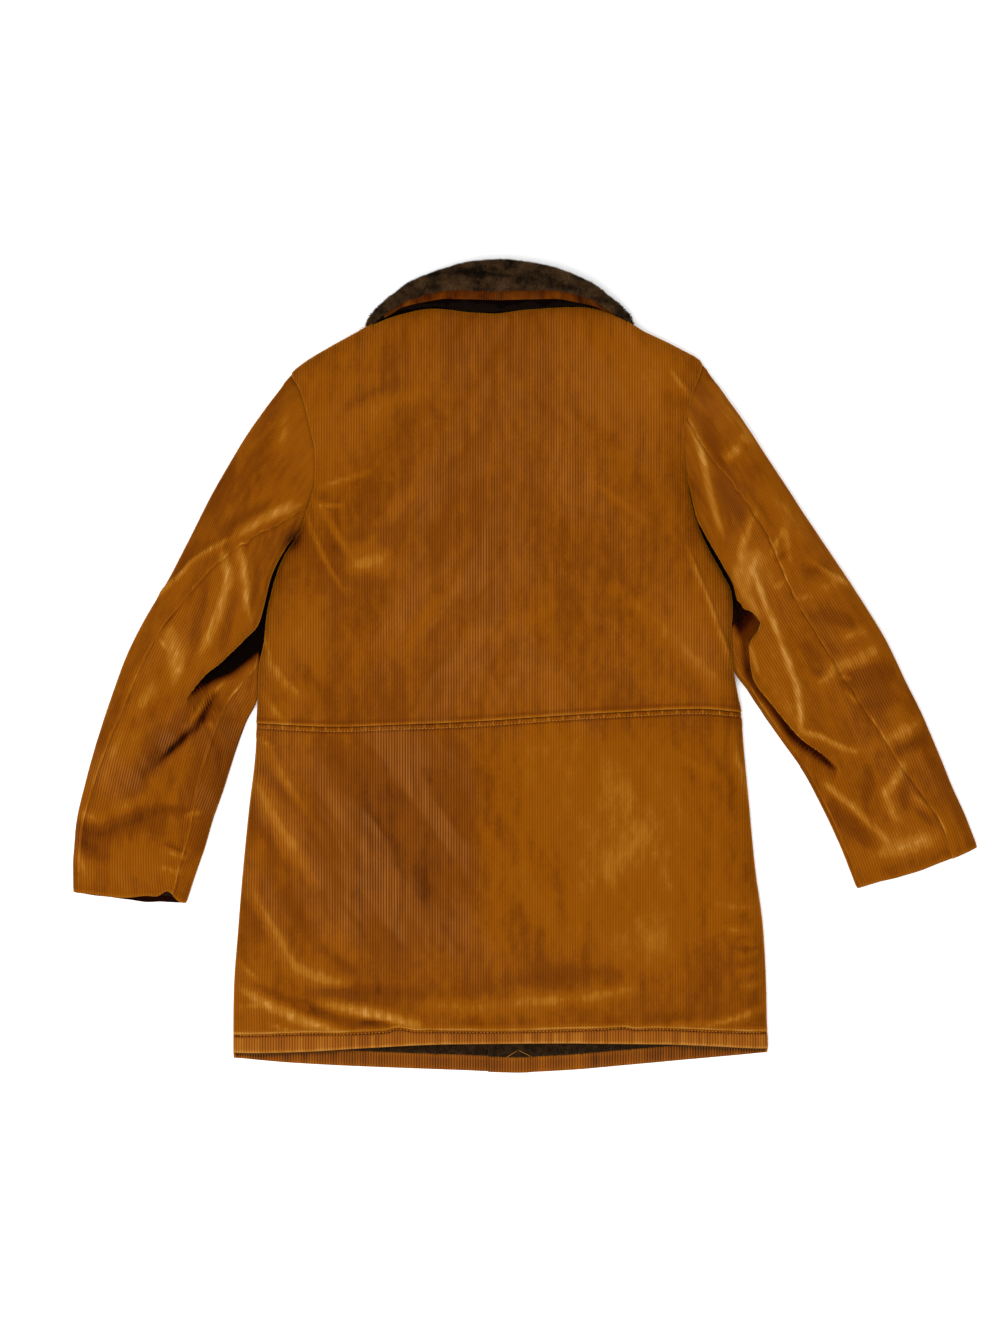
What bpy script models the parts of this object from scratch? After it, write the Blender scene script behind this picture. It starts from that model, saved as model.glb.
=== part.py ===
"""Rancher coat of wide-wale corduroy with a pile collar, laid face down on a flat surface.

Tables and sizes are in millimetres on the coat's own axes: x from the centre back line towards the right
sleeve, y up from the back hem, z up from the surface. Objects are made in metres.
"""

import math

import bpy
import numpy as np

MM = 0.001
CLOTH = 2.6          # corduroy wall
HEM_CLOTH = 4.6      # corduroy turned up at a hem
HEM_DEPTH = 17.0
PILE_LINING = 3.4    # pile lining wall
CUFF_LINING = 2.0
SEAM_GAP = 0.3       # between two panels at a seam
LAID_GAP = 1.6       # between a sleeve and the body it lies against
EDGE_ROLL = 44.0     # width over which the back rolls down to a side
FRONT_ROLL = 13.0    # width over which a front turns up to a side
NECK_ROLL = 14.0     # width over which the back rolls down to the neck seam
WAIST = 387.0        # waist seam on the centre back line
NECK = 847.0         # height of the neck points
LAP_LEFT = 22.0      # front edge of the left front, past the centre
LAP_RIGHT = -14.0    # front edge of the right front, past the centre
LAP_RISE = 3.0       # the right front lies on the left one
LAP_RISE_HEM = 5.0   # and on its turned-up hem
CENTRE = (29.42, 451.0)   # middle of the whole coat on its own axes

# The body, a row per height: left and right edge, height of the left and right seam, crown of the back.
BODY_COLUMNS = ("height", "left", "right", "left_z", "right_z", "crown")
BODY = [
    (0, -315, 316, 7, 7, 21),
    (9, -315.5, 317, 7, 7, 21.5),
    (HEM_DEPTH, -315.5, 316.5, 7, 7, 19.5),
    (26, -315.5, 316, 7, 7, 23),
    (45, -315.5, 315.5, 7, 7, 26.5),
    (70, -315, 315, 7, 7, 27.5),
    (139, -310, 311.5, 7, 7, 28),
    (210, -304, 302, 7, 7, 29),
    (281, -297, 295, 7, 7, 29),
    (352, -289, 288, 7, 7, 29),
    (WAIST - 9, -288, 286, 7, 7, 28.5),
    (WAIST, -288, 285.5, 7, 7, 26.5),
    (WAIST + 9, -287.5, 284, 7, 7, 28.5),
    (411, -287, 281, 7, 7, 29),
    (452, -285.5, 275, 7, 7, 29),
    (481, -279.5, 274, 7, 7, 29),
    (517, -275.5, 275.5, 7, 7, 29.5),
    (535, -271.5, 274, 7, 7, 29.5),
    (564, -263, 261, 7.5, 7, 30),
    (582, -255, 251, 8, 7.5, 30),
    (605, -239.5, 239.5, 9, 8, 30),
    (632, -229, 230, 15, 8.5, 30.5),
    (652, -222, 225, 18.5, 9, 31),
    (670, -218, 221.5, 20, 11, 31),
    (700, -218, 217, 20.5, 18, 31),
    (727, -223, 217, 20, 20, 31),
    (753, -229, 222.5, 18, 19, 30.5),
    (780, -238, 230.5, 13, 15, 30),
    (795, -250, 234.5, 9, 11, 30),
    (807, -235, 237, 9, 9, 30),
    (829, -199, 206, 10, 10, 30),
    (NECK, -166, 168, 12, 12, 30),
]
LEFT_ARMHOLE = (795, 605)    # heights of the shoulder point and the armpit
RIGHT_ARMHOLE = (807, 670)

# Lines across the back that are not level: x, then how far the line lies above its height on the centre line.
HEM_BACK = [(-315, -6), (-235, -4), (-150, 1), (-60, 5), (60, 6), (190, 5), (265, 2), (316, -1)]
WAIST_LINE = [(-288, -4), (-190, -8), (-130, -6), (-52, -3), (0, 0), (40, 3), (138, 9), (235, 13), (286, 9)]
NECK_LINE = [(-166, 0), (-118, 18), (-79, 25), (-28, 20), (-8, 19), (34, 24), (94, 27), (112, 25), (168, 0)]
HEM_FRONT = [
    (-315, -10), (-244, -17), (-178, -21), (-47, -25), (22, -28), (81, -25), (139, -20), (210, -13),
    (316, -4),
]

# Largest folds of the back: start, end, half width, height.
FOLD_COLUMNS = ("x0", "y0", "x1", "y1", "half_width", "height")
FOLDS = [
    (-288, 365, -200, 205, 15, 4.0),
    (-305, 185, -205, 65, 16, 4.5),
    (-312, 95, -215, 32, 13, 4.0),
    (-240, 52, 10, 27, 14, 3.5),
    (205, 42, 310, 60, 13, 4.0),
    (-215, 615, -178, 545, 14, 4.0),
    (224, 585, 276, 485, 13, 4.0),
    (-280, 480, -245, 420, 13, 3.5),
]

# Sleeves, a row per section from the armhole to the cuff: outer and inner edge, crown, how far the tuck along
# the inner side is folded (0 to 1), the lip's distance from the inner edge, and where the elbow seam and the
# inner seam cross the upper layer, as shares of its width.
SLEEVE_COLUMNS = ("outer_x", "outer_y", "inner_x", "inner_y", "crown", "fold", "lip", "elbow", "inseam")
SLEEVE_LEFT = [
    (-250, 795, -240, 605, 22, 0, 12, 0.83, 0.97),
    (-281, 750, -255, 581, 29, 0, 12, 0.76, 0.97),
    (-310, 706, -271, 538, 32, 0.1, 14, 0.60, 0.97),
    (-341, 653, -281, 481, 33, 0.9, 22, 0.40, 0.97),
    (-368, 599, -287, 444, 34, 1, 40, 0.27, 0.95),
    (-396, 546, -290, 411, 33, 1, 60, 0.18, 0.90),
    (-417, 511, -300, 385, 32, 1, 72, 0.15, 0.82),
    (-440, 466, -312, 352, 30, 0.75, 82, 0.14, 0.79),
    (-460, 413, -326, 307, 28, 0.3, 92, 0.12, 0.80),
    (-477, 361, -340, 267, 26, 0.1, 92, 0.09, 0.84),
    (-491, 310, -349, 236, 24, 0, 80, 0.07, 0.86),
    (-502, 260, -358, 210, 22, 0, 60, 0.06, 0.87),
    (-505, 212, -366, 186, 20.5, 0, 50, 0.06, 0.88),
    (-505, 183, -371, 172, 20, 0, 50, 0.06, 0.89),
]
SLEEVE_RIGHT = [
    (237, 807, 222, 670, 22, 0, 12, 0.47, 0.98),
    (262, 776, 232, 623, 28, 0, 12, 0.47, 0.98),
    (287, 741, 247, 591, 31, 0, 12, 0.45, 0.98),
    (316, 697, 262, 564, 32, 0, 14, 0.43, 0.98),
    (345, 653, 278, 526, 33, 0.2, 16, 0.41, 0.98),
    (359, 631, 280, 503, 33, 0.9, 26, 0.40, 0.98),
    (374, 609, 281, 481, 33, 1, 36, 0.40, 0.98),
    (404, 564, 283, 448, 33, 1, 17, 0.40, 0.98),
    (431, 523, 293, 422, 32, 1, 15, 0.40, 0.98),
    (459, 476, 310, 396, 31, 1, 19, 0.40, 0.98),
    (479, 434, 335, 360, 30, 1, 23, 0.38, 0.98),
    (498, 396, 358, 328, 28, 0.7, 34, 0.36, 0.98),
    (517, 352, 378, 290, 26, 0.3, 50, 0.32, 0.98),
    (535, 308, 396, 253, 24, 0.1, 50, 0.25, 0.98),
    (551, 273, 411, 218, 22, 0, 50, 0.21, 0.98),
    (564, 238, 422, 190, 20, 0, 50, 0.22, 0.98),
]
TUCK = 9.0               # how far the fold runs back under its lip
ARMHOLE_REACH = 3.0      # sections over which the armhole's curve dies out
TOP_POINTS = 10          # points of a sleeve's section over the top, then those underneath
RING_POINTS = 16

# Collar, a row per section from the middle of the back to the left front edge: place of the neck seam, how
# the stand leans from straight up the coat and how far the leaf has turned from above to below, in degrees,
# then length of the stand and of the leaf, height of the fold, pile wall, and cloth strip beyond the pile.
COLLAR_COLUMNS = ("x", "y", "z", "lean", "turn", "stand", "leaf", "height", "pile", "strip")
COLLAR = [
    (0, 871, 14, 0, 0, 59, 38, 27, 7, 10.5),
    (-40, 872, 14, 0, 0, 54, 33, 27, 7, 10.5),
    (-75, 876, 14, 0, 0, 42, 26, 26, 7, 10),
    (-106, 874, 14, 3, 8, 28, 20, 24, 6.5, 7),
    (-128, 867, 13, 5, 30, 23, 18, 20, 6, 5),
    (-142, 859, 12, 6, 65, 20, 16, 18, 5.5, 2),
    (-147, 851, 11, 6, 100, 17, 14, 16, 5, 0),
    (-146, 842, 9.5, 4, 140, 14, 22, 12.5, 4.2, 0),
    (-140, 829, 8.5, 14, 170, 13, 40, 9.5, 3.8, 0),
    (-118, 804, 8, 38, 180, 12, 56, 8, 3.5, 0),
    (-80, 777, 8, 38, 180, 12, 66, 8, 3.5, 0),
    (-48, 763, 8, 22, 180, 12, 70, 8, 3.5, 0),
    (-24, 758, 8, 10, 180, 12, 68, 8, 3.5, 0),
]
FRONT_NECK = [
    (-166, 0), (-150, -10), (-140, -26), (-119, -49), (-81, -76), (-48, -90), (-20, -96), (30, -100),
]
LEAF_RISE = 5.2                    # the fronts lie on the collar's leaves
LEAF_SPREAD = (186.0, 172.0)       # half width and depth of the place that the leaves take
UNDER_CLOTH = 2.2
UNDER_ROWS = 4.5                     # rows of COLLAR, from the middle, that the under collar shows in


def curve(rows, column):
    """A smooth function of a table's first column, through the given column, with no overshoot."""
    x = np.array([row[0] for row in rows], float)
    y = np.array([row[column] for row in rows], float)
    step = np.diff(x)
    slope = np.diff(y) / step
    tangent = np.concatenate([slope[:1], np.zeros(len(x) - 2), slope[-1:]])
    for i in range(1, len(x) - 1):
        if slope[i - 1] * slope[i] > 0:
            a = 2 * step[i] + step[i - 1]
            b = step[i] + 2 * step[i - 1]
            tangent[i] = (a + b) / (a / slope[i - 1] + b / slope[i])

    def at(value):
        value = np.clip(np.asarray(value, float), x[0], x[-1])
        i = np.clip(np.searchsorted(x, value) - 1, 0, len(x) - 2)
        t = (value - x[i]) / step[i]
        return (
            y[i] * (1 + 2 * t) * (1 - t) ** 2
            + y[i + 1] * t * t * (3 - 2 * t)
            + step[i] * (tangent[i] * t * (1 - t) ** 2 - tangent[i + 1] * t * t * (1 - t))
        )

    return at


def numbered(rows):
    """The same table with the row's number as its first column."""
    return [(i, *row) for i, row in enumerate(rows)]


def ease(value):
    value = np.clip(value, 0, 1)
    return value * value * (3 - 2 * value)


def roll(distance, width):
    """Rises from 0 at an edge to 1 at the given width, upright at the edge."""
    return np.sqrt(np.clip(1 - (1 - np.clip(distance / width, 0, 1)) ** 2, 0, 1))


body = {name: curve(BODY, i) for i, name in enumerate(BODY_COLUMNS) if i}
hem_back = curve(HEM_BACK, 1)
hem_front = curve(HEM_FRONT, 1)
waist_line = curve(WAIST_LINE, 1)
neck_line = curve(NECK_LINE, 1)
front_neck = curve(FRONT_NECK, 1)


def folds(x, y):
    """Height that the largest folds add at a place on the back."""
    total = np.zeros(np.broadcast(x, y).shape)
    for x0, y0, x1, y1, half_width, height in FOLDS:
        length = math.hypot(x1 - x0, y1 - y0)
        along = ((x - x0) * (x1 - x0) + (y - y0) * (y1 - y0)) / length
        across = ((x - x0) * (y1 - y0) - (y - y0) * (x1 - x0)) / length
        taper = np.sin(np.pi * np.clip(along / length, 0, 1))
        total = total + height * taper * np.exp(-((across / half_width) ** 2))
    return total


def back(x, h):
    """A point of the back's outer face, from its x and its height on the centre line."""
    bend = hem_back(x) * (1 - ease(h / 90))
    bend = bend + waist_line(x) * (1 - ease(np.abs(h - WAIST) / 200))
    bend = bend + neck_line(x) * ease((h - 800) / (NECK - 800))
    y = h + bend
    left = roll(x - body["left"](h), EDGE_ROLL)
    right = roll(body["right"](h) - x, EDGE_ROLL)
    top = roll(NECK + neck_line(x) - y, NECK_ROLL)
    top = np.where(np.abs(x) < 150, 0.45 + 0.55 * top, 1)
    side = np.where(x < 0, body["left_z"](h), body["right_z"](h)) + SEAM_GAP
    z = side + (body["crown"](h) - side + folds(x, y)) * left * right * top
    return np.stack([x, y, z], -1)


def front(x, h, lap):
    """A point of a front's outer face; lap is how far it is raised by the other front at this x."""
    bend = hem_front(x) * (1 - ease(h / 200))
    bend = bend + front_neck(-np.abs(x)) * ease((h - 600) / (NECK - 600))
    y = h + bend
    leaf = np.hypot(x / LEAF_SPREAD[0], (y - 868) / LEAF_SPREAD[1])
    rise = LEAF_RISE * (1 - ease((leaf - 1) / 0.16)) + lap * np.ones(np.shape(x))
    side = np.where(x < 0, body["left_z"](h), body["right_z"](h)) - SEAM_GAP
    armhole = np.where(x < 0, _between(h, LEFT_ARMHOLE), _between(h, RIGHT_ARMHOLE))
    edge = np.minimum(x - body["left"](h), body["right"](h) - x)
    z = rise + (side - rise) * (1 - armhole) * (1 - roll(edge, FRONT_ROLL))
    return np.stack([x, y, z], -1)


def _between(h, span):
    """1 along an armhole, easing to 0 at the shoulder point and the armpit."""
    return ease((span[0] - h) / 14) * ease((h - span[1]) / 20)


class Sleeve:
    def __init__(self, rows, side, armhole):
        self.column = {name: curve(numbered(rows), i + 1) for i, name in enumerate(SLEEVE_COLUMNS)}
        self.side = side
        self.armhole = armhole
        self.last = len(rows) - 1

    def edges(self, s):
        outer = np.stack([self.column["outer_x"](s), self.column["outer_y"](s)], -1)
        inner = np.stack([self.column["inner_x"](s), self.column["inner_y"](s)], -1)
        beside = body[self.side](inner[..., 1])
        if self.side == "left":
            inner[..., 0] = np.minimum(inner[..., 0], beside - LAID_GAP)
        else:
            inner[..., 0] = np.maximum(inner[..., 0], beside + LAID_GAP)
        return outer, inner

    def section(self, s):
        """Points of the section: distance from the outer edge and height, over the top and back below."""
        outer, inner = self.edges(s)
        width = np.hypot(*np.moveaxis(inner - outer, -1, 0))
        crown = self.column["crown"](s)
        fold = self.column["fold"](s)
        lip = width - self.column["lip"](s)
        plain = [
            (0 * width, 0.30 * crown),
            (0.02 * width + 2, 0.62 * crown),
            (0.10 * width + 4, 0.88 * crown),
            (0.30 * width, crown),
            (0.55 * width, 0.98 * crown),
            (0.75 * width, 0.94 * crown),
            (0.88 * width, 0.84 * crown),
            (0.95 * width, 0.68 * crown),
            (width - 1.5, 0.47 * crown),
            (width, 0.27 * crown),
        ]
        folded = plain[:4] + [
            (lip - 20, 0.99 * crown),
            (lip - 4, 0.90 * crown),
            (lip, 0.68 * crown),
            (lip - TUCK, 0.45 * crown),
            (width - 0.4 * (width - lip), 0.43 * crown),
            (width, 0.25 * crown),
        ]
        below = [
            (width - 1.5, 0.08 * crown),
            (width - 9, 0 * crown),
            (0.67 * width, 0 * crown),
            (0.33 * width, 0 * crown),
            (9 + 0 * width, 0 * crown),
            (1.5 + 0 * width, 0.09 * crown),
        ]
        points = [[p + fold * (f - p) for p, f in zip(a, b)] for a, b in zip(plain, folded)] + below
        return np.array([p[0] for p in points]), np.array([p[1] for p in points]), width

    def flat(self, q, s):
        """Distance across and height at place q round the section, a smooth curve through its points."""
        across, height, width = self.section(s)
        i = np.floor(q).astype(int)
        t = q - i
        weights = (
            0.5 * (-t + 2 * t * t - t ** 3),
            0.5 * (2 - 5 * t * t + 3 * t ** 3),
            0.5 * (t + 4 * t * t - 3 * t ** 3),
            0.5 * (t ** 3 - t * t),
        )
        d = 0
        z = 0
        for k, weight in enumerate(weights):
            pick = ((i + k - 1) % RING_POINTS)[None]
            d = d + weight * np.take_along_axis(across, pick, 0)[0]
            z = z + weight * np.take_along_axis(height, pick, 0)[0]
        return np.clip(d, 0, width), np.maximum(z, 0), width

    def point(self, q, s):
        q, s = np.broadcast_arrays(np.asarray(q, float), np.asarray(s, float))
        d, z, width = self.flat(q, s)
        share = d / width
        outer, inner = self.edges(s)
        plan = outer + (inner - outer) * share[..., None]
        top, bottom = self.armhole
        h = top + (bottom - top) * share
        first_outer, first_inner = self.edges(0 * s)
        chord = first_outer + (first_inner - first_outer) * share[..., None]
        seam = np.stack([body[self.side](h), h], -1)
        die = np.clip(1 - s / ARMHOLE_REACH, 0, 1) ** 2
        plan = plan + die[..., None] * (seam - chord)
        return np.concatenate([plan, z[..., None]], -1)

    def seam(self, name, s):
        """Place round the section where a seam runs, sought from the edge that it lies nearer to."""
        places = np.linspace(0, TOP_POINTS - 1, 200)
        found = []
        for one in np.atleast_1d(s):
            d, _, width = self.flat(places, np.full(places.shape, one))
            target = self.column[name](one) * width[0]
            if name == "elbow":
                found.append(places[np.argmax(d >= target)])
            else:
                found.append(places[len(places) - 1 - np.argmax(d[::-1] <= target)])
        return np.array(found)


def faces_out(point, u, v, du, dv):
    """Unit normals of a surface given by a function of two values."""
    a = point(u + du, v) - point(u - du, v)
    b = point(u, v + dv) - point(u, v - dv)
    n = np.cross(a, b)
    return n / np.linalg.norm(n, axis=-1, keepdims=True)


def make(name, outer, inner, material, ring=False):
    """A closed wall between two grids of points; a ring's last column joins its first."""
    rows, columns = outer.shape[:2]
    points = np.concatenate([outer.reshape(-1, 3), inner.reshape(-1, 3)]) * MM
    offset = rows * columns
    wrap = columns if ring else columns - 1
    faces = []
    for r in range(rows - 1):
        for c in range(wrap):
            d = (c + 1) % columns
            here = (r * columns + c, r * columns + d, (r + 1) * columns + d, (r + 1) * columns + c)
            for triangle in ((here[0], here[1], here[2]), (here[0], here[2], here[3])):
                faces.append(triangle)
                faces.append(tuple(i + offset for i in reversed(triangle)))
    rim = [(c, (c + 1) % columns) for c in range(wrap)]
    rim += [((rows - 1) * columns + (c + 1) % columns, (rows - 1) * columns + c) for c in range(wrap)]
    if not ring:
        rim += [((r + 1) * columns, r * columns) for r in range(rows - 1)]
        rim += [(r * columns + columns - 1, (r + 1) * columns + columns - 1) for r in range(rows - 1)]
    for a, b in rim:
        faces += [(b, a, a + offset), (b, a + offset, b + offset)]
    return solid(name, points, faces, material)


def solid(name, points, faces, material):
    """One object of the coat from its points and triangles, with its faces pointing out."""
    corners = points[np.array(faces)]
    if np.linalg.det(corners).sum() < 0:
        faces = [tuple(reversed(face)) for face in faces]
    mesh = bpy.data.meshes.new(name)
    mesh.from_pydata(points.tolist(), [], faces)
    obj = bpy.data.objects.new(name, mesh)
    obj.data.materials.append(material)
    obj.parent = coat
    bpy.context.scene.collection.objects.link(obj)
    return obj


def material(name, colour, roughness, sheen):
    made = bpy.data.materials.new(name)
    made.use_nodes = True
    shader = made.node_tree.nodes["Principled BSDF"]
    shader.inputs["Base Color"].default_value = (*colour, 1)
    shader.inputs["Roughness"].default_value = roughness
    shader.inputs["Sheen Weight"].default_value = sheen
    return made


def spread(first, last, close, step):
    """Places from first to last, close to both ends as listed and evenly spaced between."""
    count = max(2, round((last - first - 2 * close[-1]) / step))
    inside = np.linspace(first + close[-1], last - close[-1], count)
    return np.concatenate([first + np.array(close[:-1]), inside, last - np.array(close[-2::-1])])


def body_grid(heights, close, step, left=None, right=None):
    """x and height of a grid over the body, between its sides or the given edges."""
    shares = spread(0, 1, [c / 600 for c in close], step / 600)
    h = np.repeat(np.array(heights, float)[:, None], len(shares), 1)
    first = body["left"](h) if left is None else np.full(h.shape, left)
    last = body["right"](h) if right is None else np.full(h.shape, right)
    return first + (last - first) * shares[None], h


def back_panel(name, heights, skin, near=0.0, thick=None):
    """A panel of the back, or a layer under it that starts near millimetres below its outer face."""
    x, h = body_grid(heights, BACK_CLOSE, BACK_STEP)
    if near:
        x = x[:, LINING_FROM:-LINING_FROM]
        h = h[:, LINING_FROM:-LINING_FROM]
    outer = back(x, h)
    normal = faces_out(back, x, h, 0.002, 0.002)
    wall = thick if thick is not None else hem_wall(x, h)
    return make(name, outer - normal * near, outer - normal * (near + wall), skin)


def hem_wall(x, h):
    """The cloth's wall, with the hem turned up inside it, thinning out at the sides."""
    edge = np.minimum(x - body["left"](h), body["right"](h) - x)
    turned = np.where(h <= HEM_DEPTH, (HEM_CLOTH - CLOTH) * ease(edge / 40), 0)
    return (CLOTH + turned)[..., None]


def front_panel(name, heights, skin, side, near=0.0, thick=None):
    """A front, or a layer on its inside that starts near millimetres from its outer face."""
    shares = np.array(FRONT_SHARES)
    lap = (LAP_RIGHT - 4, LAP_LEFT) if side == "left" else (LAP_LEFT + 26, LAP_LEFT + 3, LAP_RIGHT)
    h = np.repeat(np.array(heights, float)[:, None], len(shares) + len(lap) - 1, 1)
    first = body[side](h[:, :1])
    flat = [np.full(first.shape, value) for value in lap[1:]]
    x = np.concatenate([first + (lap[0] - first) * shares[None], *flat], 1)
    if near:
        stop = -1 if side == "left" else None
        x = x[:, LINING_FROM:stop]
        h = h[:, LINING_FROM:stop]

    def point(x, h):
        if side == "left":
            return front(x, h, 0.0)
        rise = LAP_RISE + (LAP_RISE_HEM - LAP_RISE) * (1 - ease((h - HEM_DEPTH - 2) / 40))
        return front(x, h, rise * (1 - ease((x - LAP_LEFT - 2) / 20)))

    outer = point(x, h)
    normal = -faces_out(point, x, h, 0.002, 0.002)
    wall = thick if thick is not None else hem_wall(x, h)
    return make(name, outer - normal * near, outer - normal * (near + wall), skin)


def sleeve_places(sleeve, s):
    """Places round the section of the points of both panels, a seam gap between the two."""
    elbow = sleeve.seam("elbow", s)
    inseam = sleeve.seam("inseam", s)
    found = []
    for first, last, count in ((elbow, inseam, UNDER_POINTS), (inseam, elbow + RING_POINTS, OVER_POINTS)):
        q = first[:, None] + (last - first)[:, None] * np.linspace(0, 1, count)[None]
        rows = np.repeat(s[:, None], count, 1)
        pace = np.linalg.norm(sleeve.point(q + 0.01, rows) - sleeve.point(q - 0.01, rows), axis=-1) / 0.02
        q[:, 0] += 0.6 * SEAM_GAP / pace[:, 0]
        q[:, -1] -= 0.6 * SEAM_GAP / pace[:, -1]
        found.append(q)
    return found


def sleeve_panels(sleeve, side, skins):
    s = np.array([SLEEVE_START, *SLEEVE_STATIONS[side], sleeve.last])
    for name, q, skin in zip(("under", "top"), sleeve_places(sleeve, s), skins):
        outer, normal = sleeve_wall(sleeve, q, s)
        make(f"sleeve_{side}_{name}", outer, outer - normal * CLOTH, skin)


def sleeve_wall(sleeve, q, s):
    rows = np.repeat(s[:, None], q.shape[1], 1)
    normal = faces_out(sleeve.point, q, rows, 0.02, 0.01)
    return sleeve.point(q, rows), -normal if sleeve.side == "left" else normal


def cuff_lining(sleeve, side, skin):
    s = np.array(SLEEVE_STATIONS[side][-CUFF_ROWS:], float)
    outer, normal = sleeve_wall(sleeve, np.concatenate(sleeve_places(sleeve, s), 1), s)
    near = CLOTH + SEAM_GAP
    make(f"cuff_lining_{side}", outer - normal * near, outer - normal * (near + CUFF_LINING), skin, ring=True)


def collar_rows(count):
    """Values along the whole collar, from the left end to the right, with the sign of the side."""
    half = {name: curve(numbered(COLLAR), i + 1) for i, name in enumerate(COLLAR_COLUMNS)}
    places = COLLAR_PLACES[COLLAR_PLACES <= count]
    rows = []
    for place in places[::-1]:
        rows.append((1, {name: float(half[name](place)) for name in COLLAR_COLUMNS}))
    for place in places[1:]:
        rows.append((-1, {name: float(half[name](place)) for name in COLLAR_COLUMNS}))
    return rows


def collar_points(rows, profile):
    """Places the closed profile of each row: along the stand, and out from the neck."""
    grid = []
    for side, row in rows:
        lean = math.radians(row["lean"])
        turn = math.radians(row["turn"])
        seam = np.array([row["x"] * side, row["y"], row["z"]])
        stand = np.array([math.sin(lean) * side, math.cos(lean), 0])
        out = np.array([-math.sin(turn) * side, 0, math.cos(turn)])
        grid.append([seam + stand * a + out * b for a, b in profile(row)])
    grid = np.array(grid)
    grid[..., 2] = np.maximum(grid[..., 2], 0)
    return grid


def pile_profile(row):
    s, leaf, b, t = row["stand"], row["leaf"], row["height"], row["pile"]
    edge = s - leaf
    return [
        (edge, b - 0.14 * b), (edge + 0.2 * leaf, b), (edge + 0.55 * leaf, b), (s - 0.16 * b, 0.86 * b),
        (s, 0.52 * b), (s - 0.14 * b, 0.12 * b), (0.55 * s, 0), (0, 0),
        (0, t), (0.5 * s, t), (s - t - 0.1 * b, t + 0.04 * b), (s - t, 0.52 * b),
        (s - t - 0.1 * b, b - t - 0.06 * b), (edge + 0.5 * leaf, b - t), (edge + 0.02 * leaf, b - t),
    ]


def under_profile(row):
    s, leaf, b, t = row["stand"], row["leaf"], row["height"], row["pile"] + 2 * SEAM_GAP
    edge = s - leaf - row["strip"]
    w = UNDER_CLOTH
    high = b - t
    return [
        (edge, high - 1.2), (edge, high - 1.2 + 0.5 * w), (s - leaf - 0.5, high - 0.2),
        (edge + 0.75 * leaf, high - 0.3), (s - t - 0.14 * b, high - 0.1 * b), (s - t - 0.4, 0.52 * b),
        (s - t - 0.14 * b, t + 0.08 * b), (0.5 * s, t + 0.2), (0, t),
        (0, t + w), (0.48 * s, t + w + 0.2), (s - t - w - 0.12 * b, t + w + 0.08 * b),
        (s - t - w - 0.4, 0.52 * b), (s - t - w - 0.12 * b, high - w - 0.1 * b),
        (edge + 0.7 * leaf, high - w - 0.3), (s - leaf - 0.5, high - w - 0.2),
    ]


def swept(name, grid, skin):
    """A closed solid through rows of closed profiles, capped at both ends from the profile's two faces."""
    rows, columns = grid.shape[:2]
    faces = []
    for r in range(rows - 1):
        for c in range(columns):
            d = (c + 1) % columns
            a, b, e, f = (r * columns + c, r * columns + d, (r + 1) * columns + d, (r + 1) * columns + c)
            faces += [(a, b, e), (a, e, f)]
    for row, turned in ((0, True), (rows - 1, False)):
        for i in range(columns // 2):
            j = columns - 1 - i
            cap = [(i, i + 1, j)] if i + 1 != j else []
            if j - 1 > i + 1:
                cap.append((i + 1, j - 1, j))
            for triangle in cap:
                triangle = tuple(row * columns + k for k in triangle)
                faces.append(tuple(reversed(triangle)) if turned else triangle)
    return solid(name, grid.reshape(-1, 3) * MM, faces, skin)


# How finely the solids follow the forms above.
BACK_CLOSE = (0, 1.2, 5, 13, 26, 46)
BACK_STEP = 52
LINING_FROM = 3          # columns that a lining leaves clear at a side
FRONT_SHARES = (0, 0.004, 0.016, 0.042, 0.12, 0.28, 0.46, 0.64, 0.82, 1)
LOWER_HEIGHTS = (
    0, 5, 12, HEM_DEPTH, HEM_DEPTH + 1, 26, 36, 60, 100, 150, 200, 250, 300, 350, WAIST - 6, WAIST - 0.2,
)
UPPER_HEIGHTS = (
    WAIST + 0.2, WAIST + 6, 420, 465, 510, 550, 580, 605, 632, 655, 680, 705, 730, 755, 780, 795,
    807, 820, 833, 841, 845, NECK,
)
LINING_HEIGHTS = (HEM_DEPTH + 1, 26, 36, 60, 100, 150)
FRONT_HEIGHTS = (
    0, 9, HEM_DEPTH, HEM_DEPTH + 1, 60, 100, 150, 230, 310, WAIST, 440, 490, 535, 575, 605, 632,
    660, 690, 720, 753, 780, 795, 807, 829, NECK,
)
FRONT_LINING_HEIGHTS = (HEM_DEPTH + 1, 60, 100, 150)
SLEEVE_START = 0.06      # clear of the armhole seam
SLEEVE_STATIONS = {
    "left": (0.35, 0.8, 1.5, 2.2, 2.8, 3.4, 4, 5, 6, 6.6, 7.3, 8, 9, 10, 11, 12, 12.6),
    "right": (0.35, 0.8, 1.5, 2.4, 3.4, 4.2, 4.8, 5.4, 6, 6.6, 7.2, 8, 9, 10, 10.7, 11.4, 12, 13, 14, 14.6),
}
CUFF_ROWS = 4
UNDER_POINTS = 13
OVER_POINTS = 14
COLLAR_PLACES = np.array([0, 0.7, 1.4, 2, 2.5, 3, 3.5, 4, 4.5, 5, 5.5, 6, 6.5, 7, 7.5, 8, 9, 10, 11, 12])

for old in list(bpy.data.objects):
    bpy.data.objects.remove(old, do_unlink=True)

coat = bpy.data.objects.new("coat", None)
coat.location = (-CENTRE[0] * MM, -CENTRE[1] * MM, 0)
bpy.context.scene.collection.objects.link(coat)


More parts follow.
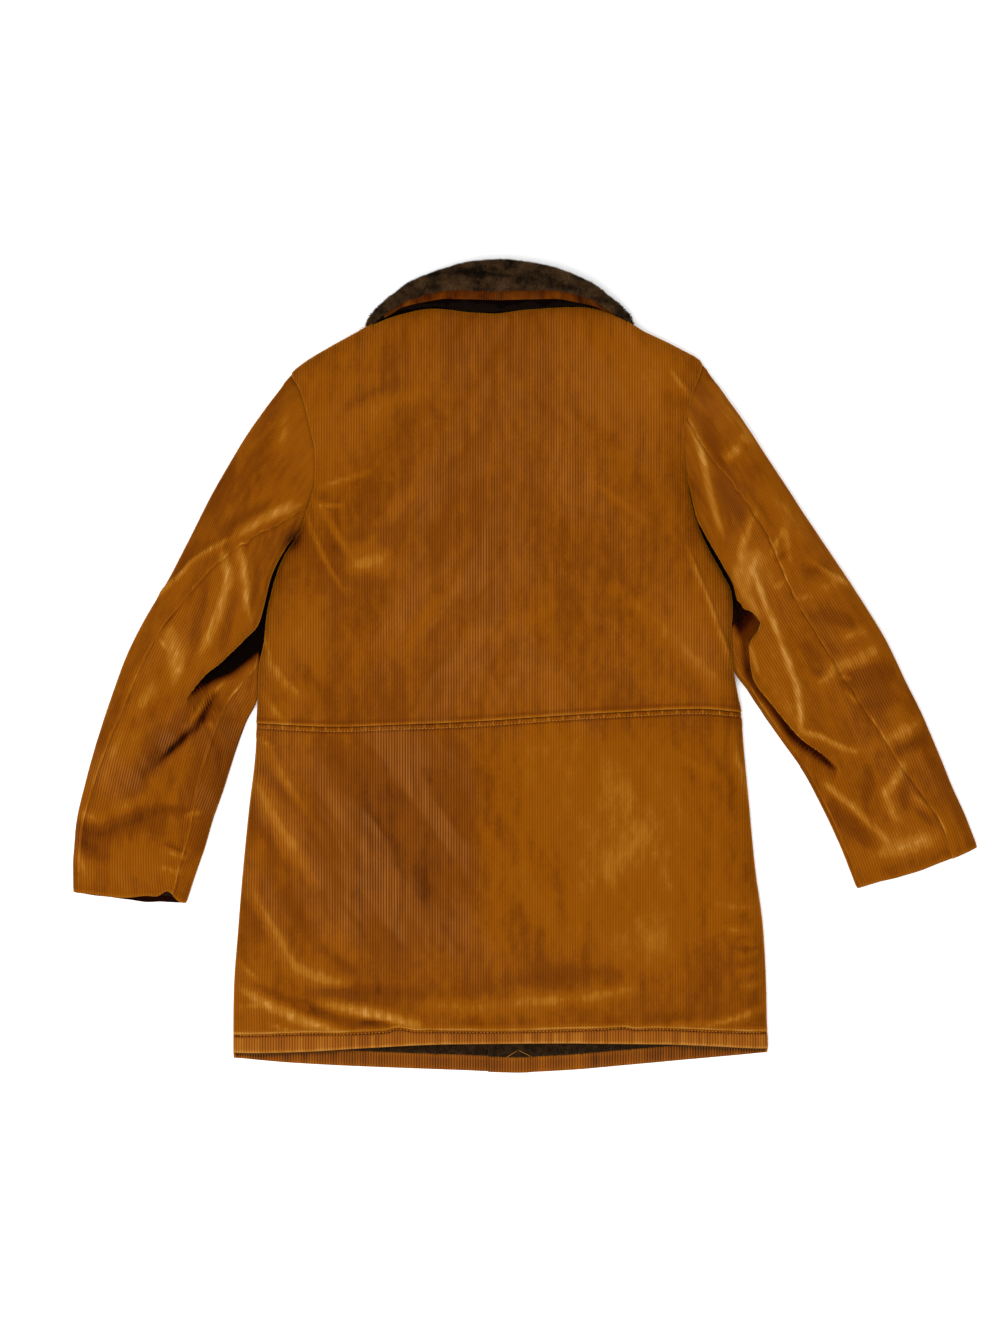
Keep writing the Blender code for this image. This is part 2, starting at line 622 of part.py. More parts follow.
def build():
    corduroy = [(0.30, 0.10, 0.012), (0.29, 0.095, 0.011), (0.28, 0.09, 0.01), (0.31, 0.105, 0.013)]

    def cloth(name, i):
        return material(name, corduroy[i % 4], 0.85, 0.6)

    back_panel("back_lower", LOWER_HEIGHTS, cloth("back_lower_corduroy", 0))
    back_panel("back_upper", UPPER_HEIGHTS, cloth("back_upper_corduroy", 1))
    front_panel("front_left", FRONT_HEIGHTS, cloth("front_left_corduroy", 2), "left")
    front_panel("front_right", FRONT_HEIGHTS, cloth("front_right_corduroy", 3), "right")
    for side, rows, armhole in (("left", SLEEVE_LEFT, LEFT_ARMHOLE), ("right", SLEEVE_RIGHT, RIGHT_ARMHOLE)):
        sleeve = Sleeve(rows, side, armhole)
        skins = [cloth(f"sleeve_{side}_under_corduroy", 0), cloth(f"sleeve_{side}_top_corduroy", 1)]
        sleeve_panels(sleeve, side, skins)
        cuff_lining(sleeve, side, material(f"cuff_lining_{side}_cloth", (0.03, 0.016, 0.008), 0.8, 0.2))
    pile = material("collar_pile", (0.03, 0.014, 0.006), 0.9, 0.4)
    swept("collar_top", collar_points(collar_rows(len(COLLAR)), pile_profile), pile)
    leaf = cloth("collar_under_corduroy", 2)
    swept("collar_under", collar_points(collar_rows(UNDER_ROWS), under_profile), leaf)
    near = CLOTH + SEAM_GAP
    pile = material("lining_back_pile", (0.03, 0.014, 0.007), 0.9, 0.4)
    back_panel("lining_back", LINING_HEIGHTS, pile, near, PILE_LINING)
    for side in ("left", "right"):
        pile = material(f"lining_front_{side}_pile", (0.03, 0.014, 0.007), 0.9, 0.4)
        front_panel(f"lining_front_{side}", FRONT_LINING_HEIGHTS, pile, side, near, PILE_LINING)


build()
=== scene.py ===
"""Looks of the rancher coat of wide-wale corduroy, laid face down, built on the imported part's own forms.

Tables and sizes are in millimetres on the coat's own axes: x from the centre back line towards the right
sleeve, y up from the back hem, z up from the surface. Creases and patches are placed by the photograph's
pixels. Pieces are made in metres.
"""

import math
from collections import namedtuple

import bmesh
import bpy
import numpy as np
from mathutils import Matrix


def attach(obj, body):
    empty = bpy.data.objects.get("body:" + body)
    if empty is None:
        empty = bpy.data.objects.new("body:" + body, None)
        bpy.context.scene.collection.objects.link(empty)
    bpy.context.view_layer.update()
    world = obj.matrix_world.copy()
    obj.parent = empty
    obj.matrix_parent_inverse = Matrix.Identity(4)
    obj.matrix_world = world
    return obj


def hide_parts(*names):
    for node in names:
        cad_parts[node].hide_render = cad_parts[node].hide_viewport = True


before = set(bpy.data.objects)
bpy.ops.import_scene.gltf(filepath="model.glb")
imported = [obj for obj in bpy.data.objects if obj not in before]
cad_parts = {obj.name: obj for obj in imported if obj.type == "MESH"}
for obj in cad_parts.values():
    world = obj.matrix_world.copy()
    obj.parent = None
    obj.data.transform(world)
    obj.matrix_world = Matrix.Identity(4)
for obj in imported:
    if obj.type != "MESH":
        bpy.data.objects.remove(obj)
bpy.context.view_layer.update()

MM = 0.001
CLOTH = 2.6          # corduroy wall
HEM_CLOTH = 4.6      # corduroy turned up at a hem
HEM_DEPTH = 17.0
PILE_LINING = 3.4    # pile lining wall
CUFF_LINING = 2.0
SEAM_GAP = 0.3       # between two panels at a seam
LAID_GAP = -2.0      # between a sleeve and the body it lies against
EDGE_ROLL = 44.0     # width over which the back rolls down to a side
FRONT_ROLL = 13.0    # width over which a front turns up to a side
NECK_ROLL = 14.0     # width over which the back rolls down to the neck seam
WAIST = 387.0        # waist seam on the centre back line
NECK = 847.0         # height of the neck points
LAP_LEFT = 22.0      # front edge of the left front, past the centre
LAP_RIGHT = -14.0    # front edge of the right front, past the centre
LAP_RISE = 3.0       # the right front lies on the left one
LAP_RISE_HEM = 5.0   # and on its turned-up hem
CENTRE = (29.42, 451.0)   # middle of the whole coat on its own axes
NECK_HALF = 150.0    # half width over which the back rolls down to the neck seam
HEM_REACH = 90.0     # heights over which the bends of the lines below die out
WAVE_REACH = 16.0
WAIST_REACH = 200.0
NECK_REACH = 47.0
FRONT_HEM_REACH = 200.0
FRONT_NECK_REACH = 247.0

# The body, a row per height: left and right edge, height of the left and right seam, crown of the back.
BODY_COLUMNS = ("height", "left", "right", "left_z", "right_z", "crown")
BODY = [
    (0, -315, 316, 7, 7, 21),
    (9, -315.5, 317, 7, 7, 21.5),
    (HEM_DEPTH, -315.5, 316.5, 7, 7, 19.5),
    (HEM_DEPTH + 2.5, -315.5, 316.5, 7, 7, 22.5),
    (26, -315.5, 316, 7, 7, 25.5),
    (45, -315.5, 315.5, 7, 7, 27),
    (70, -315, 315, 7, 7, 27.5),
    (139, -310, 311.5, 7, 7, 28),
    (210, -304, 302, 7, 7, 29),
    (281, -297, 295, 7, 7, 29),
    (352, -289, 288, 7, 7, 29),
    (WAIST - 9, -288, 286, 7, 7, 28.5),
    (WAIST, -288, 285.5, 7, 7, 26.5),
    (WAIST + 9, -287.5, 284, 7, 7, 28.5),
    (411, -287, 281, 7, 7, 29),
    (452, -285.5, 275, 7, 7, 29),
    (481, -279.5, 274, 7, 7, 29),
    (517, -275.5, 275.5, 7, 7, 29.5),
    (535, -271.5, 274, 7, 7, 29.5),
    (564, -263, 261, 7.5, 7, 30),
    (582, -255, 251, 8, 7.5, 30),
    (605, -239.5, 239.5, 9, 8, 30),
    (632, -229, 230, 18, 8.5, 30.5),
    (652, -222, 225, 23.5, 9, 31),
    (670, -218, 221.5, 26, 12, 31),
    (700, -218, 217, 27, 24, 31),
    (727, -223, 217, 26.5, 27, 31),
    (753, -229, 222.5, 24, 26, 30.5),
    (780, -238, 230.5, 17, 21, 30),
    (795, -247, 236.5, 9, 14, 30),
    (807, -235, 239.5, 9, 9, 30),
    (829, -199, 206, 10, 10, 30),
    (NECK, -166, 168, 12, 12, 30),
]
ARMHOLES = {"left": (795, 605), "right": (807, 670)}    # heights of the shoulder point and the armpit

# Lines across the back that are not level: x, then how far the line lies above its height on the centre line.
HEM_BACK = [(-315, -6), (-235, -4), (-150, 1), (-60, 5), (60, 6), (190, 5), (265, 2), (316, -1)]
HEM_WAVE = [
    (-315, 3), (-237, 4), (-159, 0.7), (-135, 1), (-121, 4), (-97, -0.3), (0, -2.5), (120, 0.5), (146, 2.5),
    (160, 0.5), (183, 1.5), (242, 1), (316, 2),
]
WAIST_LINE = [(-288, -4), (-190, -8), (-130, -6), (-52, -3), (0, 0), (40, 3), (138, 9), (235, 13), (286, 9)]
NECK_LINE = [(-166, 0), (-118, 18), (-79, 25), (-28, 20), (-8, 19), (34, 24), (94, 27), (112, 25), (168, 0)]
HEM_FRONT = [
    (-315, -13), (-244, -19), (-178, -22.5), (-47, -27.5), (22, -30), (81, -27.5), (139, -22.5), (210, -16),
    (316, -6.5),
]

# Largest folds of the back: start, end, half width, height.
Fold = namedtuple("Fold", "x0 y0 x1 y1 half_width height")
FOLDS = [
    (-288, 365, -200, 205, 15, 4.0),
    (-305, 185, -205, 65, 16, 4.5),
    (-312, 95, -215, 32, 13, 4.0),
    (-240, 52, 10, 27, 14, 3.5),
    (205, 42, 310, 60, 13, 4.0),
    (-215, 615, -178, 545, 14, 4.0),
    (224, 585, 276, 485, 13, 4.0),
    (-280, 480, -245, 420, 13, 3.5),
]

# Sleeves, a row per section from the armhole to the cuff: outer and inner edge, crown, how far the tuck along
# the inner side is folded (0 to 1), the lip's distance from the inner edge, and where the elbow seam and the
# inner seam cross the upper layer, as shares of its width.
SLEEVE_COLUMNS = ("outer_x", "outer_y", "inner_x", "inner_y", "crown", "fold", "lip", "elbow", "inseam")
SLEEVE_LEFT = [
    (-247, 795, -240, 605, 22, 0, 12, 0.83, 0.97),
    (-281, 750, -255, 581, 29, 0.4, 7, 0.76, 0.97),
    (-310, 706, -271, 538, 32, 0.9, 8, 0.60, 0.97),
    (-341, 653, -277.5, 481, 33, 1, 20, 0.40, 0.97),
    (-368, 599, -283.8, 444, 34, 1, 40, 0.27, 0.95),
    (-396, 546, -287.5, 411, 33, 1, 60, 0.18, 0.85),
    (-417, 511, -300, 385, 32, 0.95, 72, 0.15, 0.82),
    (-440, 466, -312, 352, 30, 0.14, 80, 0.14, 0.815),
    (-460, 413, -326, 307, 28, 0, 86, 0.12, 0.815),
    (-477, 361, -340, 267, 26, 0, 86, 0.09, 0.85),
    (-491, 310, -349, 236, 24, 0, 80, 0.07, 0.87),
    (-502, 260, -358, 210, 22, 0, 60, 0.06, 0.87),
    (-505, 212, -366, 186, 20.5, 0, 50, 0.06, 0.88),
    (-505, 183, -371, 170, 20, 0, 50, 0.06, 0.89),
]
SLEEVE_RIGHT = [
    (239.5, 807, 222, 670, 22, 0, 12, 0.47, 0.98),
    (262, 776, 231, 623, 28, 0.3, 6, 0.47, 0.98),
    (287, 741, 244, 591, 31, 0.9, 7, 0.45, 0.98),
    (316, 697, 258, 564, 32, 1, 7, 0.43, 0.98),
    (345, 653, 272, 526, 33, 1, 9, 0.41, 0.98),
    (359, 631, 273, 503, 33, 1, 22, 0.40, 0.98),
    (374, 609, 273, 481, 33, 1, 29, 0.40, 0.98),
    (404, 564, 276, 448, 33, 1, 24, 0.40, 0.98),
    (431, 523, 293, 422, 32, 1, 11, 0.40, 0.98),
    (459, 476, 310, 396, 31, 1, 14, 0.40, 0.98),
    (479, 434, 335, 360, 30, 0.95, 18, 0.38, 0.98),
    (498, 396, 358, 328, 28, 0.40, 31, 0.36, 0.98),
    (517, 352, 378, 290, 26, 0, 46, 0.32, 0.98),
    (535, 308, 396, 253, 24, 0, 46, 0.25, 0.98),
    (551, 273, 411, 218, 22, 0, 50, 0.21, 0.98),
    (565, 236, 422.5, 188, 20, 0, 50, 0.22, 0.98),
]
SLEEVES = {"left": SLEEVE_LEFT, "right": SLEEVE_RIGHT}
TUCK = 9.0               # how far the fold runs back under its lip
LIP_NOTCH = 22.0         # how much further back the right sleeve's lip lies above its notch
NOTCH = (5.2, 6.5)       # sections from and to which it does
TUCK_DEPTH = {"left": 0.24, "right": 0.30}     # height of the layer under the lip, as a share of the crown

# Section of an unfolded sleeve, over the top and back below: share of the width, millimetres more, and share
# of the crown; then the places of the upper points on a sleeve of usual width.
SECTION_TOP = (
    (0, 0, 0.30), (0.02, 2, 0.62), (0.10, 4, 0.88), (0.30, 0, 1), (0.55, 0, 0.98),
    (0.75, 0, 0.94), (0.88, 0, 0.84), (0.95, 0, 0.68), (1, -1.5, 0.47), (1, 0, 0.27),
)
SECTION_BELOW = ((1, -1.5, 0.08), (1, -9, 0), (0.67, 0, 0), (0.33, 0, 0), (0, 9, 0), (0, 1.5, 0.09))
TOP_PLACES = (0, 0.03, 0.13, 0.30, 0.55, 0.75, 0.88, 0.95, 0.99, 1)
ARMHOLE_REACH = 3.0      # sections over which the armhole's curve dies out
TOP_POINTS = len(SECTION_TOP)
RING_POINTS = TOP_POINTS + len(SECTION_BELOW)

# Collar, a row per section from the middle of the back to the left front edge: place of the neck seam, how
# the stand leans from straight up the coat and how far the leaf has turned from above to below, in degrees,
# then length of the stand and of the leaf, height of the fold, pile wall, and cloth strip beyond the pile.
COLLAR_COLUMNS = ("x", "y", "z", "lean", "turn", "stand", "leaf", "height", "pile", "strip")
COLLAR = [
    (0, 871, 14, 0, 0, 57, 36, 27, 7, 10.5),
    (-40, 872, 14, 0, 0, 50.5, 29.5, 27, 7, 10.5),
    (-75, 876, 14, 0, 0, 38, 22, 26, 7, 10),
    (-106, 874, 14, 3, 8, 26.5, 18.5, 24, 6.5, 7),
    (-124, 866, 13, 5, 30, 19, 16, 17, 6, 4),
    (-138, 858, 12, 8, 60, 15, 15, 13, 5, 1),
    (-147, 850, 11, 8, 92, 11, 12, 11, 4, 0),
    (-149, 841, 9.5, 4, 140, 9, 16, 9.5, 3.8, 0),
    (-140, 829, 8.5, 14, 170, 13, 40, 9.5, 3.8, 0),
    (-118, 804, 8, 38, 180, 12, 56, 8, 3.5, 0),
    (-80, 777, 8, 38, 180, 12, 66, 8, 3.5, 0),
    (-48, 763, 8, 22, 180, 12, 70, 8, 3.5, 0),
    (-24, 758, 8, 10, 180, 12, 68, 8, 3.5, 0),
]
FRONT_NECK = [
    (-166, 0), (-150, -10), (-140, -26), (-119, -49), (-81, -76), (-48, -90), (-20, -96), (30, -100),
]
LEAF_RISE = 5.2                    # the fronts lie on the collar's leaves
LEAF_SPREAD = (186.0, 172.0)       # half width and depth of the place that the leaves take
LEAF_MIDDLE = 868.0                # height of that place's middle
UNDER_CLOTH = 2.2
UNDER_ROWS = 4.5                   # rows of COLLAR, from the middle, that the under collar shows in

# The photograph and the studio; lengths of the studio are in metres.
PIXEL = 1.18             # millimetres to a pixel of the photograph
ORIGIN = (500, 1048)     # pixel where the coat's axes start
PHOTO = (1000, 1333)     # pixels of the photograph
CAMERA_HEIGHT = 3.5      # above the level of the coat that is seen at the photograph's scale
SCALE_HEIGHT = 0.015     # height of that level
PAPER_HALF = 4.0         # half of the paper's side
PAPER_DROP = 0.0006      # how far below the coat it lies
SKY = 0.86               # strength of the white surroundings
LIGHTS = (               # name, place, width and power
    ("key", (-0.75, -0.75, 2.7), 2.6, 92),
    ("fill", (1.2, 1.3, 2.6), 3.0, 24),
)

# Wales, and the points that they and the panels are made of.
WALE = 3.175             # eight wales to an inch
GROOVE = 0.75            # depth between two wales
WALE_SECTION = (0.0, 1.0, 0.55)   # a wale from its groove over its crest, as shares of that depth
NEAR = 0.7               # a wale's column is drawn back to this distance from a panel's edge
EDGE_STEP = 0.2          # distance between a panel's edge and the next column
ROW = 4.4                # distance between the rows of a panel, and between those of a front
FRONT_ROW = 15.0
BACK_INNER = 26.0        # distance between the rows of an inner face
FRONT_INNER = 40.0
SLEEVE_INNER = 8.0
PANEL_STEP = 0.4         # distance over which the normals of a panel are taken

# Tones of the cloth, as places on CORDUROY_TONES, and what makes them uneven.
MIDDLE_TONE = 0.42       # usual tone
BACK_INSIDE = 0.3        # tone of the inner faces
# the sleeves' inner faces are near black: painted shade inside the sleeves
SLEEVE_INSIDE = 0.02
FAR = 9.0                # distance from an edge at which its painted highlight has no effect
NAP = (-0.5, -0.87)      # way over the coat from which light is painted onto the slopes of the creases
NAP_LINE = -29.5         # x of the line down the skirt where the nap turns and its painted sheen changes
OCTAVES = 3              # layers of fractal noise
FINER = 0.55             # strength of each layer beside the one before
# Painted highlight line along the ridge of each crease.
HIGHLIGHT_PITCH = 11.0        # length of the brighter stretches of a crease's painted highlight line
HIGHLIGHT_WIDTH = 2.1         # half width of that painted highlight line
HIGHLIGHT_SHARP = 8.0         # a crease wider than this gets a fainter painted highlight
HIGHLIGHT_FULL = 2.5          # height from which a crease gets its full painted highlight
HIGHLIGHT_SEED = 5
SKIRT_SEED = 1

# Stitch lines and threads.
WAIST_STITCH = 5.0       # distance of the stitches below the waist seam
WAIST_ROW = (-284, 282)  # x from and to which they run
WAIST_SUNK = 0.7         # how deep they lie
HEM_STITCH = 16.5        # height of the stitches above the hem's edge
HEM_ROW = (-308, 310)
HEM_SUNK = 1.1
TICK_PITCH = 16.5        # distance between the pleats of the waist band
STITCH_RINGS = ((0.18, 0.8), (0.5, 1.0), (0.82, 0.8))     # place along a stitch and share of its half width
STITCH_SIDES = 6         # points of each ring
STITCH_GAP = 1.1         # distance from one stitch to the next
STITCH_DIVE = 0.3        # how deep its ends go into the cloth
STITCH_ARCH = 0.25       # how high its middle rises
STITCH_FLAT = 0.75       # its thickness as a share of its width
LOOSE_THREAD = (((504, 1059), (519, 1049.5)), ((517, 1049.5), (534, 1058)))    # pixels of a thread end
LOOSE_Z = 15.0           # its height
LOOSE_LONG = 19.5        # length of each of its runs
LOOSE_WIDE = 0.3         # its half width

# Sleeves and cuffs.
RIM_TUCK = 2.5           # how far a sleeve runs in under the rim of the armhole
SLEEVE_START = 0.008     # section at which the cloth of a sleeve starts
RING_STEPS = 361         # points at which the length round a sleeve is measured
INNER_FLOOR = 0.8        # least height of a sleeve's inner face
ELBOW_SWELL = {"left": 0.9, "right": 1.3}      # height of the swelling along the elbow seam
CUFF_SECTIONS = {"left": (10, 12.6), "right": (12, 14.6)}      # sections that the cuff linings reach over
CUFF_DROP = 1.5          # how far a cuff lining keeps below the troughs of the sleeve
CUFF_BULGE = 2.6         # how far the edge of a cuff is bowed out
CUFF_REACH = 24.0        # how far up the sleeve that reaches
PEAK_REACH = 34.0        # how far up the sleeve the left cuff draws back
PEAK_PIXEL = 168         # pixel across, where it draws back the most

# Pile lining and collar.
LINING_TOP = 150.0       # height that the lining reaches
LINING_ROW = 9.0         # distance between its rows
LINING_DROP = 1.2        # how far it keeps below the troughs of the back
LINING_BACK = ((0.022, 0.978), 110, 45, 4000)    # shares of the width, columns, height of the tufts, tufts
LINING_FRONT = ((0.045, 1), 70, 50, 5000)
LINING_TUFT = (3.2, 0.55)      # length and half width of a tuft
COLLAR_TUFT = (3.6, 0.5)
TUFT_ROOT = 0.8                # how deep a tuft is set
TUFT_CORNERS = (0, 2.094, 4.189)     # turn of each corner of its foot
COLLAR_TUFTS = 34000
COLLAR_GRID = (241, 72)        # rows along the collar and points round it
COLLAR_HIDDEN = (27, 66)       # points round the pile collar that are turned away from sight, painted dark as shade in the slot
COLLAR_FACE = (70, 25)         # points from and to which tufts stand, past the first point
COLLAR_SEEN = 7.2              # rows of COLLAR, from the middle, that tufts stand on
UNDER_GRID = (401, 64)
UNDER_LENGTH = 400.0           # length along the under collar, as its wales are counted
COLLAR_FOOT = (0, 8, 9)        # how far its foot reaches down the coat and in under the neck edge
SMOOTHING = 6                  # rows on each side that evening out reaches

# More rows where a seam, a stitch line or a hem needs them.
LOWER_EXTRA = (
    1.2, 3, 14.8, 15.8, 16.6, 17.6, 18.8, 20.2, 22,
    WAIST - 8, WAIST - 6, WAIST - 5, WAIST - 4, WAIST - 2.6, WAIST - 1.2,
)
UPPER_EXTRA = (WAIST + 1.0, WAIST + 1.8, WAIST + 2.8, WAIST + 6, 841, 844, 845.5)
FRONT_EXTRA = (3, 6, 9, 12, 15, HEM_DEPTH, HEM_DEPTH + 1.2, WAIST)

# Colours: stops of the corduroy from its darkest, which stands for painted shade, to its palest; what its
# grooves are multiplied by, painted shade in them; its pale lines, painted sheen on its crests; and the roots
# and tips of the piles.
CORDUROY_TONES = (
    (0.00, (0.002, 0.0006, 0.0003)),
    (0.07, (0.024, 0.0028, 0.0001)),
    (0.14, (0.060, 0.0115, 0.0004)),
    (0.32, (0.118, 0.028, 0.0006)),
    (0.52, (0.186, 0.051, 0.0009)),
    (0.74, (0.258, 0.091, 0.0060)),
    (0.98, (0.365, 0.166, 0.0300)),
)
GROOVE_TONE = (0.36, 0.27, 0.21)
PALE_TONE = (0.290, 0.100, 0.0170)
LINING_TONES = ((0.007, 0.0033, 0.0012), (0.075, 0.036, 0.012))
COLLAR_TONES = ((0.003, 0.0012, 0.0006), (0.145, 0.074, 0.029))

# Creases of the cloth: start and end in pixels, bow to the right of the way, half width on the left and on
# the right, and height; a trough has a negative height.
# Their heights also paint lighter ridges and darker troughs into the tone: painted light and shade.
Crease = namedtuple("Crease", "x0 y0 x1 y1 bow left right height")
BACK_CREASES = [
    (316, 488, 374, 471, 0, 2.5, 4, 2.2),
    (310, 503, 346, 505, 1, 2, 3, 2.2),
    (306, 508, 348, 594, 5, 2.5, 4, 2.6),
    (319, 502, 354, 560, 0, 4, 5, 2.4),
    (342, 568, 400, 548, 4, 8, 8, 2.4),
    (330, 542, 352, 560, 0, 5, 5, -1.1),
    (356, 540, 392, 520, 0, 8, 9, -0.8),
    (340, 411, 402, 378, 0, 6, 6, -1.4),
    (352, 418, 440, 384, 0, 8, 10, 1.0),
    (264, 655, 304, 698, 0, 4, 8, 3.0),
    (258, 688, 290, 726, 0, 4, 7, 2.2),
    (262, 628, 274, 664, 0, 3, 5, 1.8),
    (284, 640, 334, 706, 0, 8, 11, -1.4),
    (685, 542, 716, 620, 0, 2, 3.5, 2.8),
    (706, 594, 738, 680, 0, 2.5, 4, 2.2),
    (606, 581, 676, 640, -2, 8, 10, 1.4),
    (660, 622, 736, 696, 2, 7, 9, 1.7),
    (640, 652, 716, 706, 0, 10, 10, -0.8),
    (585, 476, 622, 504, 0, 3, 5, 1.0),
    (612, 494, 652, 526, 0, 3, 5, 0.8),
    (668, 368, 694, 402, 0, 2.5, 4, 2.2),
    (654, 380, 672, 420, 0, 8, 8, -0.7),
    (430, 470, 352, 560, 0, 10, 12, 1.0),
    (476, 560, 392, 660, 0, 12, 14, 1.0),
    (510, 400, 430, 500, 0, 12, 14, -0.6),
    (440, 640, 560, 600, 8, 14, 16, 0.8),
    (258, 736, 276, 749, 0, 3, 5, 2.4),
    (266, 742, 320, 828, 2, 6, 9, 2.2),
    (253, 756, 314, 826, 0, 7, 7, -1.7),
    (254, 773, 300, 850, 3, 5, 9, 3.0),
    (284, 824, 322, 890, 0, 6, 10, 2.6),
    (252, 806, 292, 876, 0, 7, 8, -1.0),
    (318, 732, 370, 806, -5, 12, 11, -1.0),
    (362, 786, 396, 858, 2, 12, 12, -0.7),
    (388, 842, 440, 912, -3, 14, 14, -0.5),
    (251, 883, 288, 944, 2, 5, 8, 3.0),
    (276, 926, 304, 972, 3, 6, 9, 2.6),
    (292, 962, 356, 986, 3, 7, 9, 2.8),
    (270, 872, 330, 956, 0, 9, 9, -1.3),
    (320, 946, 364, 976, 0, 6, 6, -1.3),
    (237, 958, 262, 981, 0, 3, 5, 2.0),
    (236, 984, 346, 1032, 5, 5, 7.5, 4.4),
    (248, 978, 340, 1016, 4, 6, 6, -2.5),
    (236, 1007, 266, 1003, 0, 3, 4, 1.6),
    (268, 1022, 300, 1032, 0, 3, 4, 2.0),
    (316, 1001, 428, 1027, -3, 7, 7, 4.8),
    (310, 990, 428, 994, -3, 7, 6, -2.0),
    (350, 1025, 404, 1021, -2, 5, 4, -2.0),
    (414, 1002, 512, 1006, 2, 9, 10, 2.2),
    (458, 987, 552, 977, 0, 9, 9, -1.0),
    (500, 1002, 596, 995, 0, 8, 9, 2.6),
    (580, 996, 640, 986, 0, 6, 8, 2.8),
    (516, 980, 644, 972, -6, 10, 9, -1.1),
    (640, 1016, 700, 1014, 0, 8, 7, -1.1),
    (704, 1024, 766, 1004, 2, 3.5, 6, 3.2),
    (656, 1025, 716, 1022, 0, 4, 5, 1.4),
    (710, 901, 757, 906, 2, 4, 5, 1.5),
    (720, 925, 757, 929, 2, 4, 5, 1.6),
    (738, 940, 759, 943, 0, 3, 4, 1.4),
    (736, 957, 760, 951, 0, 3, 4, 1.5),
    (732, 972, 760, 966, 0, 3, 4, 1.3),
    (738, 986, 763, 981, 0, 3, 4, 1.6),
    (730, 948, 760, 946, 0, 3, 3, -0.8),
    (664, 746, 722, 779, 0, 4, 7, 1.2),
    (731, 722, 750, 800, 3, 4, 6, 1.8),
    (560, 900, 690, 800, 0, 18, 20, 0.9),
    (600, 740, 680, 900, 6, 18, 22, 0.8),
]
LEFT_CREASES = [
    (304, 503, 232, 541, 3, 5, 9, 3.2),
    (236, 537, 186, 566, 2, 3, 2.5, 3.6),
    (196, 559, 152, 600, -2, 3, 2.5, 3.4),
    (296, 494, 216, 536, 2, 7, 7, -1.4),
    (216, 536, 160, 584, 0, 7, 7, -1.3),
    (240, 543, 249, 602, -3, 4, 6, 3.2),
    (247, 588, 252, 624, 0, 3, 5, 2.2),
    (220, 545, 232, 592, -3, 5, 6, 2.8),
    (231, 576, 198, 658, -4, 6, 6, 3.2),
    (239, 580, 220, 656, -2, 5, 5, -2.1),
    (258, 556, 256, 614, 0, 5, 5, -1.1),
    (212, 572, 192, 650, 0, 6, 7, -1.4),
    (204, 626, 186, 672, 0, 5, 6, -1.4),
    (172, 622, 178, 676, 0, 9, 9, 2.4),
    (190, 640, 172, 690, 0, 6, 8, 1.6),
    (159, 639, 172, 649, 0, 2.5, 3, 1.6),
    (160, 680, 134, 716, 0, 9, 9, 2.0),
    (150, 716, 120, 770, 0, 8, 10, 1.2),
    (124, 726, 102, 790, 0, 6, 8, 1.2),
    (206, 684, 122, 806, 0, 9, 9, -1.6),
    (215, 690, 197, 734, 0, 3, 3.5, -2.2),
    (211, 706, 146, 772, -3, 3.5, 4, -2.2),
    (225, 680, 206, 700, 0, 2.5, 3, 2.6),
    (212, 694, 190, 724, 0, 2.5, 3, 2.6),
    (75, 822, 118, 828, 8, 7, 7, -1.8),
    (104, 830, 168, 806, 0, 6, 7, -2.0),
    (152, 809, 192, 811, -3, 4, 5, -1.4),
    (78, 812, 108, 818, 2, 6, 6, 1.8),
    (110, 812, 150, 796, 0, 8, 8, 1.4),
    (80, 837, 112, 862, 0, 8, 8, -1.5),
    (184, 815, 206, 811, 0, 3, 3, 2.0),
    (164, 842, 190, 853, 0, 3, 3, -1.3),
    (164, 848, 188, 858, 0, 3, 4, 1.6),
    (150, 864, 184, 872, 0, 4, 5, 1.2),
    (76, 850, 92, 882, 0, 6, 7, 1.6),
    (262, 400, 232, 470, 2, 10, 14, 1.4),
    (240, 440, 210, 520, 0, 10, 14, -1.0),
    (288, 400, 282, 460, 0, 8, 9, 1.4),
    (210, 713, 220, 713, 0, 2, 3, 1.4),
    (206, 722, 216, 725, 0, 2, 3, 1.2),
]
